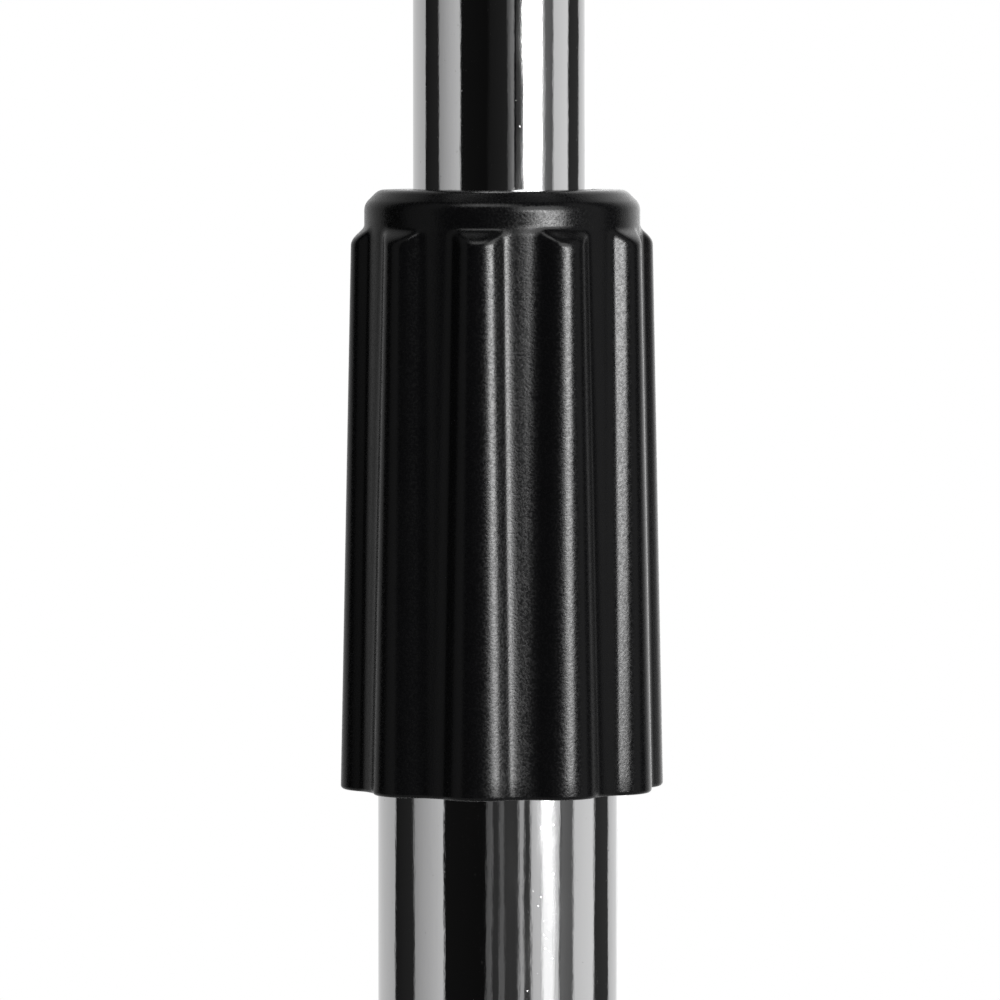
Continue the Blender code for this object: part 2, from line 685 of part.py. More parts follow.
def make_desk(desk, paint):
    """One sheet of steel: the desk with its back-turned rim, and the ledge bent forward with its curb."""
    bm = bmesh.new()
    bends = [(BEND_R * math.sin(a), BEND_R * (1 - math.cos(a))) for a in map(math.radians, (0, 30, 60, 90))]
    bends.append((BEND_R, RIM_DEPTH))
    rims = [[bm.verts.new((x, DESK_Y + back, z)) for x, z in desk_outline(out)] for out, back in bends]
    bm.faces.new(rims[0])
    for near, far in zip(rims, rims[1:]):
        for i in range(len(near) - 1):
            bm.faces.new((near[i], near[i + 1], far[i + 1], far[i]))
    edge = [rims[0][-1], rims[0][0]]
    for y, z in ledge_section()[1:]:
        following = [bm.verts.new((vert.co.x, y, z)) for vert in edge]
        bm.faces.new((edge[0], edge[1], following[1], following[0]))
        edge = following
    bmesh.ops.recalc_face_normals(bm, faces=bm.faces)
    tray = piece("desk_tray", bm, paint, desk)
    solid = tray.modifiers.new("sheet", "SOLIDIFY")
    solid.thickness = SHEET
    solid.offset = 0.0
    solid.use_even_offset = True
    columns = [SLOT_FIRST_X + SLOT_PITCH * i for i in range(SLOT_COLUMNS)]
    places = [(side * x, row) for x in columns for side in (-1, 1) for row in (-SLOT_ROW_Z, SLOT_ROW_Z)]
    cut(tray, merged([slot(x, z) for x, z in places]))
    cut(tray, rivet_holes())


def front_reach():
    """How far the ledge's curb stands in front of the column when the desk leans back."""
    turn = Matrix.Rotation(-LEAN, 2)
    corners = [Vector((y - SHEET / 2, z)) for y, z in ledge_section()]
    return -min((turn @ corner).x for corner in corners)


def rear_reach():
    """How far the rear boot's tip stands behind the column."""
    tip, way = leg_stations()[-1]
    return (tip + way * TOE_REACH).x


def main():
    clear_scene()
    paint = finish("black_paint", (0.012, 0.012, 0.013), 0.32)
    chrome = finish("chrome", (0.80, 0.80, 0.82), 0.06, 1.0)
    steel = finish("zinc_steel", (0.55, 0.56, 0.58), 0.35, 1.0)
    brass = finish("brass", (0.75, 0.58, 0.30), 0.35, 1.0)
    rubber = finish("black_rubber", (0.015, 0.015, 0.015), 0.75)
    nylon = finish("nylon", (0.05, 0.05, 0.05), 0.5)
    plastic = finish("knob_plastic", (0.015, 0.015, 0.016), 0.4)
    fibre = finish("friction_fibre", (0.20, 0.09, 0.06), 0.8)

    column_y = (front_reach() - rear_reach()) / 2
    stand = frame("stand", (0, column_y, 0))
    clutch = frame("clutch", (0, 0, CLUTCH_Z), stand)
    pivot = frame("tilt_pivot", (0, 0, PIVOT_Z), stand)
    desk = frame("desk", parent=pivot, rotation=(-LEAN, 0, 0))

    make_base(stand, paint, rubber, steel)
    make_lower_column(stand, clutch, chrome, steel, nylon)
    make_grip(clutch, paint)
    make_upper_column(stand, chrome, nylon)
    make_head(pivot, paint, steel)
    make_pivot_hardware(desk, steel, fibre)
    make_knob(desk, plastic, brass)
    make_bracket(desk, paint)
    make_rivets(desk, steel)
    make_desk(desk, paint)


main()
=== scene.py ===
"""The looks of the music stand: fine surfaces, finishes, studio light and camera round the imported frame.

Lengths are in metres in the frame of the CAD, +Z up, with the musician's side at -Y.
"""

import json
import math

import bmesh
import bpy
import numpy as np
from mathutils import Matrix, Vector

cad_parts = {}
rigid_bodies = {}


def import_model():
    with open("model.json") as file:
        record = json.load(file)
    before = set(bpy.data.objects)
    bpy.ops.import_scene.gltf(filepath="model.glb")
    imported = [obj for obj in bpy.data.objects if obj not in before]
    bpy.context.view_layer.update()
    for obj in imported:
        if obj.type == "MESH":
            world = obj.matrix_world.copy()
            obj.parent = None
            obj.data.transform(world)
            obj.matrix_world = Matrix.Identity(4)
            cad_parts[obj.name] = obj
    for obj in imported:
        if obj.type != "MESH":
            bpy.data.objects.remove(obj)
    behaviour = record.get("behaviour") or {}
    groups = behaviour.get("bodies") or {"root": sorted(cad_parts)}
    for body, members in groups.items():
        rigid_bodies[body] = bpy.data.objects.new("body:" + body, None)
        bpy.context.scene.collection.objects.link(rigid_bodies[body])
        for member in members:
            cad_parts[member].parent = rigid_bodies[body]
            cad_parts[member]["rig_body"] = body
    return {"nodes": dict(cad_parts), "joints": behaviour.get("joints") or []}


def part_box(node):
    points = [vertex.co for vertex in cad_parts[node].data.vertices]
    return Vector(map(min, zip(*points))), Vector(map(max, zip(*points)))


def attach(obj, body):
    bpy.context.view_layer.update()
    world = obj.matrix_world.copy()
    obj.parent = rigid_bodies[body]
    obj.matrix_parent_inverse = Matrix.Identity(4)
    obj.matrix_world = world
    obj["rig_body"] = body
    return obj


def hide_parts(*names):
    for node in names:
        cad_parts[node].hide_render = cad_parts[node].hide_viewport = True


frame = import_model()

MM = 0.001
TAU = 2 * math.pi
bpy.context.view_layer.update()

# Facts read from the frame.
GRIP_LOW, GRIP_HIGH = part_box("clutch_grip")
COLUMN = Vector(((GRIP_LOW.x + GRIP_HIGH.x) / 2, (GRIP_LOW.y + GRIP_HIGH.y) / 2, 0))
PIVOT = Vector(next(joint["pos_m"] for joint in frame["joints"] if joint["name"] == "desk_tilt"))
LOWER_TUBE_LOW, LOWER_TUBE_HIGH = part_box("lower_tube")
UPPER_TUBE_LOW, UPPER_TUBE_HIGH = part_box("upper_tube")
HUB_LOW_Z, HUB_HIGH_Z = (corner.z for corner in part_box("hub"))

# Sizes that the looks share with the CAD.
GAP = 0.3 * MM
TUBE_EDGE = 0.3 * MM
TUBE_SIDES = 256
LOWER_TUBE_R = 11.1 * MM
LOWER_TUBE_BORE_R = 10.1 * MM
UPPER_TUBE_R = 7.95 * MM
UPPER_TUBE_BORE_R = 6.75 * MM
BEAD_HEIGHT = 37.25 * MM  # of the upper tube's bead over its lower end
BEAD_R = 1.25 * MM
BEAD_SINK = 0.35 * MM
BEAD_HALF = 1.2 * MM
HUB_R = 27 * MM
HUB_FLARE = 10.5 * MM
HUB_FLARE_HEIGHT = 20 * MM
HUB_FLARE_LOW_Z = 92 * MM
HUB_TOP_R = 16.2 * MM
HUB_TOP_FACE_R = 14 * MM
COUNTERBORE_R = 10 * MM
COUNTERBORE_DEPTH = 7 * MM
COLUMN_BOLT_R = 4 * MM
COLUMN_BOLT_HOLE_R = 4.4 * MM
HEX_HEAD_R = 6.5 * MM
HEX_HEAD_HEIGHT = 5.3 * MM
BOLT_TIP = 0.6 * MM
HUB_GRUB_Z = 106 * MM
HUB_GRUB_R = 3 * MM
HUB_GRUB_HOLE_R = 3.3 * MM
HUB_GRUB_REACH = 17 * MM
LEG_Z = 82 * MM
LEG_WIDTH = 22 * MM
LEG_DEPTH = 12 * MM
LEG_WALL = 1.5 * MM
LEG_ROOT = 22.3 * MM
LEG_CURVE = [(60, 82), (120, 82), (190, 24), (250, 12)]  # Bezier points in mm: reach, height
LEG_STEPS = 54
LEG_AZIMUTHS = {"rear": 90, "front_right": -30, "front_left": -150}
ARM_ROOT = 16 * MM
ARM_REACH = 58 * MM
ARM_WALL = 3 * MM
BOOT_STEPS = 12
BOOT_RINGS = 90
BOOT_WALL = 3 * MM
BOOT_TOE = 7 * MM
BOOT_TOE_SHRINK = 0.16
BOOT_MOUTH_STEP = 0.2 * MM
BOOT_MOUTH_SIZE = 1.2 * MM
BOOT_LIP_SIZE = 3.5 * MM
BOOT_GROOVES = [9 * MM, 14 * MM, 19 * MM, 24 * MM]  # distances back from the leg's tip
BOOT_GROOVE_DEPTH = 1.1 * MM
BOOT_GROOVE_WIDTH = 0.8 * MM
SOLE_PRESS_Z = 10 * MM  # below this height the boot's skin is drawn down to its flat sole
SOLE_PULL = 2.0
SCREW_REACH = 42 * MM
SCREW_R = 2.5 * MM
SCREW_HOLE_R = 2.8 * MM
SCREW_LENGTH = 7.5 * MM
SCREW_TIP = 0.5 * MM
SCREW_HEAD_R = 4.9 * MM
SCREW_HEAD_HEIGHT = 2.6 * MM
HEAD_BARREL_R = 12 * MM
HEAD_BARREL_HALF = 14 * MM
HEAD_LOW_Z = -45 * MM
HEAD_SOCKET_TOP_Z = -24 * MM
HEAD_WAIST_Z = -16 * MM
HEAD_WAIST_R = 10.5 * MM
HEAD_TOP_Z = -2 * MM
HEAD_TOP_R = 10 * MM
HEAD_GRUB_Z = -35 * MM
HEAD_GRUB_R = 2.5 * MM
HEAD_GRUB_HOLE_R = 2.8 * MM
HEAD_GRUB_REACH = 12.2 * MM
TUBE_TO_PIVOT = 20 * MM
LEAN = math.radians(25)
DESK_WIDTH = 490 * MM
DESK_HALF_HEIGHT = 168 * MM
DESK_Y = -35.6 * MM
SHEET = 1.2 * MM
DESK_CORNER_R = 22 * MM
BEND_R = 3 * MM
RIM_DEPTH = 9 * MM
LEDGE_DEPTH = 58 * MM
CURB_HEIGHT = 12 * MM
SLOT_WIDTH = 11 * MM
SLOT_LENGTH = 74 * MM
SLOT_COLUMNS = 5
SLOT_PITCH = 33 * MM
SLOT_FIRST_X = 74 * MM
SLOT_ROW_Z = 56 * MM
BRACKET_SHEET = 2.5 * MM
BRACKET_HALF_WIDTH = 42 * MM
BRACKET_HALF_HEIGHT = 60 * MM
BRACKET_CORNER_R = 8 * MM
EAR_HALF_FOOT = 40 * MM
EAR_EYE_R = 12.5 * MM
RIVET_X = 30 * MM
RIVET_Z = 46 * MM
RIVET_R = 2.1 * MM
RIVET_HOLE_R = 2.4 * MM
RIVET_HEAD_R = 4.8 * MM
RIVET_HEAD_HEIGHT = 1.5 * MM
RIVET_TAIL_R = 3.4 * MM
RIVET_TAIL_HEIGHT = 1.2 * MM
WASHER_THICKNESS = 1.5 * MM
FIBRE_WASHER_R = 11.5 * MM
STEEL_WASHER_R = 9 * MM
BOLT_R = 4 * MM
BOLT_HOLE_R = 4.4 * MM
BOLT_HEAD_R = 8.5 * MM
BOLT_HEAD_RIM = 0.6 * MM
BOLT_HEAD_DOME = 3.6 * MM
EAR_INNER_X = HEAD_BARREL_HALF + WASHER_THICKNESS + 2 * GAP
EAR_OUTER_X = EAR_INNER_X + BRACKET_SHEET
KNOB_X = EAR_OUTER_X + WASHER_THICKNESS + 2 * GAP
KNOB_R = 19 * MM
KNOB_LENGTH = 20 * MM
KNOB_BORE_DEPTH = 15 * MM
KNOB_BORE_R = 6.6 * MM
KNOB_BOSS_LENGTH = 5 * MM
KNOB_BOSS_R = 9 * MM
KNOB_BREAK = 0.3 * MM
KNOB_LOBES = 5
KNOB_LOBE = 1.8 * MM
KNOB_UNDER_ROUND = 1.5 * MM
KNOB_EDGE_ROUND = 2.6 * MM
KNOB_LIP_R = 10.6 * MM
KNOB_GROOVE_R = 10 * MM  # the outer wall of the groove round the cap
KNOB_GROOVE_INNER_R = 9.4 * MM
KNOB_GROOVE_DEPTH = 0.8 * MM
KNOB_CAP_R = 9 * MM
KNOB_CAP_SINK = 0.15 * MM
KNOB_CAP_DOME = 0.35 * MM
KNOB_SIDES = 160


# ---------------------------------------------------------------- node tools


class Tree:
    """A shader node tree that is built by calling add: an input takes a value, or another node's output."""

    def __init__(self, tree):
        self.tree = tree
        tree.nodes.clear()

    def add(self, kind, inputs=None, output=0, **settings):
        node = self.tree.nodes.new("ShaderNode" + kind)
        for name, value in settings.items():
            setattr(node, name, value)
        for name, value in (inputs or {}).items():
            if isinstance(value, bpy.types.NodeSocket):
                self.tree.links.new(value, node.inputs[name])
            else:
                node.inputs[name].default_value = value
        return node.outputs[output] if node.outputs else node

    def math(self, operation, *values):
        return self.add("Math", dict(enumerate(values)), operation=operation)

    def remap(self, value, low, high, to_low=0.0, to_high=1.0, smooth=True):
        kind = "SMOOTHSTEP" if smooth else "LINEAR"
        inputs = {"Value": value, "From Min": low, "From Max": high, "To Min": to_low, "To Max": to_high}
        return self.add("MapRange", inputs, interpolation_type=kind)

    def noise(self, place, scale, detail=2.0, roughness=0.5):
        inputs = {"Vector": place, "Scale": scale, "Detail": detail, "Roughness": roughness}
        return self.add("TexNoise", inputs)

    def stretched(self, place, x, y, z):
        return self.add("Mapping", {"Vector": place, "Scale": (x, y, z)})

    def mix_color(self, share, first, second):
        inputs = {"Factor": share, 6: first, 7: second}
        return self.add("Mix", inputs, output=2, data_type="RGBA")

    def bump(self, height, distance, strength=1.0, normal=None):
        inputs = {"Height": height, "Distance": distance, "Strength": strength}
        if normal is not None:
            inputs["Normal"] = normal
        return self.add("Bump", inputs)


def material(name):
    """A new material's tree, with its object coordinates."""
    made = bpy.data.materials.new(name)
    made.use_nodes = True
    tree = Tree(made.node_tree)
    place = tree.add("TexCoord", output=3)
    return made, tree, place


def surface(tree, **inputs):
    """The Principled shader that ends a material."""
    named = {key.replace("_", " "): value for key, value in inputs.items()}
    shader = tree.add("BsdfPrincipled", named)
    tree.add("OutputMaterial", {"Surface": shader})


# ---------------------------------------------------------------- materials


def chrome_plate():
    """Bright plate on drawn tube: waves and streaks along it, a haze of fine marks, small pits and specks."""
    made, tree, place = material("chrome_plate")
    waves = tree.noise(tree.stretched(place, 1, 1, 0.12), 210, 2)
    streaks = tree.noise(tree.stretched(place, 1, 1, 0.06), 1500, 3, 0.6)
    ripples = tree.noise(tree.stretched(place, 1, 1, 0.5), 900, 3, 0.6)
    cells = tree.add("TexVoronoi", {"Vector": place, "Scale": 260.0, "Randomness": 1.0})
    pits = tree.remap(cells, 0.05, 0.10, 1.0, 0.0)
    chosen = tree.math("GREATER_THAN", tree.noise(place, 130, 0), 0.64)
    pits = tree.math("MULTIPLY", pits, chosen)
    specks = tree.remap(tree.noise(place, 3000, 2, 0.5), 0.72, 0.80, 0.0, 0.7)
    marks = tree.math("MAXIMUM", tree.math("MULTIPLY", pits, 0.6), specks)
    normal = tree.bump(waves, 0.1 * MM, 0.5)
    normal = tree.bump(streaks, 0.007 * MM, 0.7, normal)
    normal = tree.bump(ripples, 0.01 * MM, 0.6, normal)
    normal = tree.bump(marks, 0.005 * MM, 0.5, normal)
    haze = tree.remap(tree.noise(tree.stretched(place, 1, 1, 0.2), 350, 4), 0.35, 0.75, 0.025, 0.08)
    rough = tree.math("ADD", haze, tree.math("MULTIPLY", marks, 0.25))
    color = tree.mix_color(marks, (0.600, 0.600, 0.604, 1), (0.33, 0.322, 0.314, 1))
    surface(tree, Base_Color=color, Metallic=1.0, Roughness=rough, Normal=normal)
    return made


def clutch_finish():
    """Semi-gloss black with a fine orange peel, and a sandy grain that sparkles in the light."""
    made, tree, place = material("clutch_finish")
    peel = tree.noise(place, 1300, 2, 0.5)
    grain = tree.noise(place, 4600, 3, 0.65)
    normal = tree.bump(peel, 0.006 * MM, 0.5)
    normal = tree.bump(grain, 0.014 * MM, 0.8, normal)
    rough = tree.remap(grain, 0.32, 0.68, 0.15, 0.31)
    darker, lighter = (0.0008, 0.0008, 0.0009, 1), (0.0013, 0.0013, 0.0014, 1)
    color = tree.mix_color(tree.noise(place, 500, 3), darker, lighter)
    surface(tree, Base_Color=color, Roughness=rough, Specular_IOR_Level=0.096, Normal=normal)
    return made


def powder_coat():
    """Satin black powder coat: a pebbled skin, slightly uneven in gloss, with a film of dust."""
    made, tree, place = material("powder_coat")
    pebble = tree.noise(place, 1100, 2, 0.45)
    fine = tree.noise(place, 4200, 2, 0.6)
    normal = tree.bump(pebble, 0.03 * MM, 0.45)
    normal = tree.bump(fine, 0.008 * MM, 0.6, normal)
    rough = tree.remap(tree.noise(place, 60, 4, 0.6), 0.3, 0.7, 0.30, 0.40)
    dust = tree.remap(tree.noise(place, 2600, 3, 0.7), 0.60, 0.78, 0.0, 0.35)
    color = tree.mix_color(dust, (0.0030, 0.0030, 0.0033, 1), (0.013, 0.0125, 0.012, 1))
    surface(tree, Base_Color=color, Roughness=rough, Specular_IOR_Level=0.17, Normal=normal)
    return made


def zinc_steel():
    """Zinc-plated steel: a cool grey crystal bloom, fine turning marks and duller spots."""
    made, tree, place = material("zinc_steel")
    bloom = tree.add("TexVoronoi", {"Vector": place, "Scale": 900.0, "Randomness": 1.0}, output=1)
    tint = tree.remap(tree.noise(place, 700, 3, 0.6), 0.3, 0.7)
    color = tree.mix_color(tint, (0.40, 0.41, 0.425, 1), (0.51, 0.52, 0.535, 1))
    color = tree.mix_color(0.06, color, bloom)
    rough = tree.remap(tree.noise(place, 1600, 3), 0.3, 0.7, 0.24, 0.42)
    normal = tree.bump(tree.noise(place, 5200, 2), 0.006 * MM, 0.5)
    surface(tree, Base_Color=color, Metallic=1.0, Roughness=rough, Normal=normal)
    return made


def brass():
    """Machined brass, a little tarnished."""
    made, tree, place = material("brass")
    tarnish = tree.remap(tree.noise(place, 500, 4, 0.6), 0.35, 0.75)
    color = tree.mix_color(tarnish, (0.78, 0.60, 0.31, 1), (0.52, 0.37, 0.18, 1))
    rough = tree.remap(tree.noise(place, 1400, 3), 0.3, 0.7, 0.22, 0.38)
    normal = tree.bump(tree.noise(tree.stretched(place, 1, 1, 8), 900, 2), 0.008 * MM, 0.5)
    surface(tree, Base_Color=color, Metallic=1.0, Roughness=rough, Normal=normal)
    return made


def rubber():
    """Moulded black rubber: matt, mottled, with a fine blasted grain."""
    made, tree, place = material("rubber")
    color = tree.mix_color(tree.noise(place, 260, 4, 0.6), (0.009, 0.009, 0.009, 1), (0.021, 0.020, 0.019, 1))
    rough = tree.remap(tree.noise(place, 480, 3), 0.3, 0.7, 0.62, 0.80)
    normal = tree.bump(tree.noise(place, 3600, 3, 0.6), 0.02 * MM, 0.6)
    surface(tree, Base_Color=color, Roughness=rough, Specular_IOR_Level=0.35, Normal=normal)
    return made


def knob_plastic():
    """Black moulded plastic with a spark-eroded texture."""
    made, tree, place = material("knob_plastic")
    color = tree.mix_color(tree.noise(place, 900, 3), (0.008, 0.008, 0.0085, 1), (0.014, 0.014, 0.0145, 1))
    rough = tree.remap(tree.noise(place, 700, 3), 0.3, 0.7, 0.34, 0.46)
    normal = tree.bump(tree.noise(place, 2900, 3, 0.7), 0.02 * MM, 0.6)
    surface(tree, Base_Color=color, Roughness=rough, Specular_IOR_Level=0.4, Normal=normal)
    return made


def nylon():
    """Dark moulded nylon with faint flow marks."""
    made, tree, place = material("nylon")
    flow = tree.noise(tree.stretched(place, 1, 1, 0.3), 300, 3)
    color = tree.mix_color(flow, (0.045, 0.045, 0.045, 1), (0.065, 0.064, 0.062, 1))
    rough = tree.remap(tree.noise(place, 800, 2), 0.3, 0.7, 0.42, 0.55)
    surface(tree, Base_Color=color, Roughness=rough, Normal=tree.bump(flow, 0.02 * MM, 0.3))
    return made


def friction_fibre():
    """Pressed red-brown fibre, flecked and matt."""
    made, tree, place = material("friction_fibre")
    flecks = tree.remap(tree.noise(tree.stretched(place, 1, 3, 1), 1500, 4, 0.7), 0.40, 0.65)
    color = tree.mix_color(flecks, (0.13, 0.055, 0.035, 1), (0.24, 0.12, 0.08, 1))
    surface(tree, Base_Color=color, Roughness=0.8, Normal=tree.bump(flecks, 0.03 * MM, 0.6))
    return made


# ---------------------------------------------------------------- mesh tools


def as_object(mesh_data):
    """A plain object out of a bmesh, which it frees."""
    mesh = bpy.data.meshes.new("shape")
    bmesh.ops.recalc_face_normals(mesh_data, faces=mesh_data.faces)
    mesh_data.to_mesh(mesh)
    mesh_data.free()
    obj = bpy.data.objects.new("shape", mesh)
    bpy.context.scene.collection.objects.link(obj)
    return obj


def modified(mesh_data, kind, **settings):
    """A bmesh with one of Blender's modifiers applied to it."""
    obj = as_object(mesh_data)
    modifier = obj.modifiers.new("shape", kind)
    for name, value in settings.items():
        setattr(modifier, name, value)
    mesh = bpy.data.meshes.new_from_object(obj.evaluated_get(bpy.context.evaluated_depsgraph_get()))
    result = bmesh.new()
    result.from_mesh(mesh)
    bpy.data.objects.remove(obj)
    bpy.data.meshes.remove(mesh)
    return result


def combined(mesh_data, other, operation="UNION"):
    """Two closed shapes made one, or the first cut by the other."""
    helper = as_object(other)
    result = modified(mesh_data, "BOOLEAN", object=helper, operation=operation, solver="EXACT")
    bpy.data.objects.remove(helper)
    return result


def cut(mesh_data, *cutters):
    for cutter in cutters:
        mesh_data = combined(mesh_data, cutter, "DIFFERENCE")
    return mesh_data


def eased(mesh_data, width, segments, degrees):
    """The shape with a small round on every edge sharper than the angle given."""
    limit = {"limit_method": "ANGLE", "angle_limit": math.radians(degrees)}
    return modified(mesh_data, "BEVEL", width=width, segments=segments, **limit)


def cast(mesh_data, voxel, rounds):
    """The shape as a casting: its inner corners filled and its edges rounded."""
    mesh_data = modified(mesh_data, "REMESH", mode="VOXEL", voxel_size=voxel)
    return modified(mesh_data, "SMOOTH", factor=0.5, iterations=rounds)


def merged(shapes):
    """One mesh that holds several separate bodies."""
    whole = bmesh.new()
    for mesh_data in shapes:
        mesh = bpy.data.meshes.new("part_of_group")
        mesh_data.to_mesh(mesh)
        mesh_data.free()
        whole.from_mesh(mesh)
        bpy.data.meshes.remove(mesh)
    return whole


def piece(name, mesh_data, finish, nodes, place=None, sharp=35, weighted=False):
    """A finished piece that stands for one CAD node or more, and takes its body from the first."""
    nodes = [nodes] if isinstance(nodes, str) else nodes
    obj = as_object(mesh_data)
    obj.name = obj.data.name = name
    mesh = obj.data
    if place is not None:
        mesh.transform(place)
    mesh.shade_smooth()
    mesh.set_sharp_from_angle(angle=math.radians(sharp))
    mesh.materials.append(finish)
    if weighted:
        obj.modifiers.new("weighted", "WEIGHTED_NORMAL").keep_sharp = True
    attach(obj, frame["nodes"][nodes[0]]["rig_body"])
    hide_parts(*nodes)
    return obj


def skin(rings, ends="joined"):
    """A closed skin over rings of points, its ends "capped", or "joined" where the last meets the first."""
    bm = bmesh.new()
    loops = [[bm.verts.new(point) for point in ring] for ring in rings]
    following = loops[1:] + (loops[:1] if ends == "joined" else [])
    for lower, upper in zip(loops, following):
        for i in range(len(lower)):
            j = (i + 1) % len(lower)
            bm.faces.new((lower[i], lower[j], upper[j], upper[i]))
    if ends == "capped":
        bm.faces.new(loops[0][::-1])
        bm.faces.new(loops[-1])
    return bm


def turned(profile, sides=96, ends="joined"):
    """A turned skin about Z, from (radius, height) points."""
    angles = np.arange(sides) * TAU / sides
    circle = np.stack([np.cos(angles), np.sin(angles)], 1)
    rings = [np.column_stack([circle * radius, np.full(sides, height)]) for radius, height in profile]
    return skin(rings, ends)


def rod(radius, low, high, sides=64):
    return turned([(radius, low), (radius, high)], sides, "capped")


def washer(inner, outer, low, high, edge=0.2 * MM, sides=96):
    """A turned ring or tube whose outer edges are broken."""
    profile = [
        (inner, low),
        (outer - edge, low),
        (outer, low + edge),
        (outer, high - edge),
        (outer - edge, high),
        (inner, high),
    ]
    return turned(profile, sides)


def along_x(mesh_data):
    """Turns a shape made about +Z so that it lies along +X."""
    mesh_data.transform(Matrix.Rotation(math.pi / 2, 4, "Y"))
    return mesh_data


def along_y(mesh_data):
    """Turns a shape made about +Z so that it lies along +Y."""
    mesh_data.transform(Matrix.Rotation(-math.pi / 2, 4, "X"))
    return mesh_data


def moved(mesh_data, x=0.0, y=0.0, z=0.0):
    mesh_data.transform(Matrix.Translation((x, y, z)))
    return mesh_data


def turned_to(mesh_data, degrees):
    mesh_data.transform(Matrix.Rotation(math.radians(degrees), 4, "Z"))
    return mesh_data


def extruded(outline, low, high):
    """A prism between two heights along Z, from (x, y) points."""
    return skin([[(x, y, z) for x, y in outline] for z in (low, high)], "capped")


def arc(center, radius, start, end, steps):
    """Points on an arc from start to end, in degrees."""
    angles = np.radians(np.linspace(start, end, steps + 1))
    return [(center[0] + radius * math.cos(a), center[1] + radius * math.sin(a)) for a in angles]


def rounded_rectangle(half_width, half_height, radius, steps=12):
    points = []
    for side_x, side_y, start in ((1, 1, 0), (-1, 1, 90), (-1, -1, 180), (1, -1, 270)):
        center = (side_x * (half_width - radius), side_y * (half_height - radius))
        points += arc(center, radius, start, start + 90, steps)
    return points


def stadium(width, depth, steps=14):
    """A flat oval of (across, up) points, as wide and deep as given."""
    radius = depth / 2
    reach = width / 2 - radius
    return arc((reach, 0), radius, -90, 90, steps) + arc((-reach, 0), radius, 90, 270, steps)


def hexagon(across_flats, low, high):
    return rod(across_flats / math.sqrt(3), low, high, 6)


def quarter(radius, height, first, steps):
    """(radius, height) points of a dome that bulges downwards, from first degrees round to its edge."""
    angles = np.radians(np.linspace(first, 0, steps + 1))
    return [(radius * math.cos(a), -height * math.sin(a)) for a in angles]


# ---------------------------------------------------------------- base


def bezier(points, share):
    weights = [(1 - share) ** 3, 3 * (1 - share) ** 2 * share, 3 * (1 - share) * share**2, share**3]
    return sum((Vector(p) * w for p, w in zip(points, weights)), Vector((0, 0)))


def leg_stations():
    """Points (reach, height) of the leg's centreline from the hub to the tip, and the way it runs at each."""
    curve = [bezier(LEG_CURVE, i / LEG_STEPS) * MM for i in range(LEG_STEPS + 1)]
    places = [Vector((LEG_ROOT, LEG_Z)), *curve]
    ways = [Vector((1, 0)), Vector((1, 0))]
    ways += [(places[i + 1] - places[i - 1]).normalized() for i in range(2, len(places) - 1)]
    ways.append((places[-1] - places[-2]).normalized())
    return list(zip(places, ways))


def leg_ring(station, width, depth):
    """An oval section across the leg at a station."""
    (reach, height), (run, rise) = station
    return [(reach - up * rise, across, height + up * run) for across, up in stadium(width, depth)]


def leg_tube(stations, width, depth):
    return skin([leg_ring(station, width, depth) for station in stations], "capped")


def straight(start, end):
    """Stations of a level stretch at the leg's root."""
    return [(Vector((reach, LEG_Z)), Vector((1, 0))) for reach in (start, end)]


def make_leg(place, degrees, stand, paint):
    stations = leg_stations()
    outer = [leg_ring(s, LEG_WIDTH, LEG_DEPTH) for s in stations]
    inner = [leg_ring(s, LEG_WIDTH - 2 * LEG_WALL, LEG_DEPTH - 2 * LEG_WALL) for s in stations]
    hole = moved(rod(SCREW_HOLE_R, LEG_Z - LEG_DEPTH, LEG_Z - 2 * MM), x=SCREW_REACH)
    leg = cut(skin(outer + inner[::-1]), hole)
    piece("leg_tube_" + place, turned_to(leg, degrees), paint, "leg_" + place, stand)


def boot_size(back):
    """How much wider than the leg the boot is, at a distance back from its toe end."""
    size = 2 * BOOT_WALL
    for groove in BOOT_GROOVES:
        size -= BOOT_GROOVE_DEPTH * math.exp(-(((back - groove) / BOOT_GROOVE_WIDTH) ** 2))
    return size


def pressed(point):
    """A point of a boot's skin, drawn down to the flat sole if it is near the floor."""
    x, y, z = point
    return (x, y, max(z - SOLE_PULL * max(SOLE_PRESS_Z - z, 0.0), 0.0))


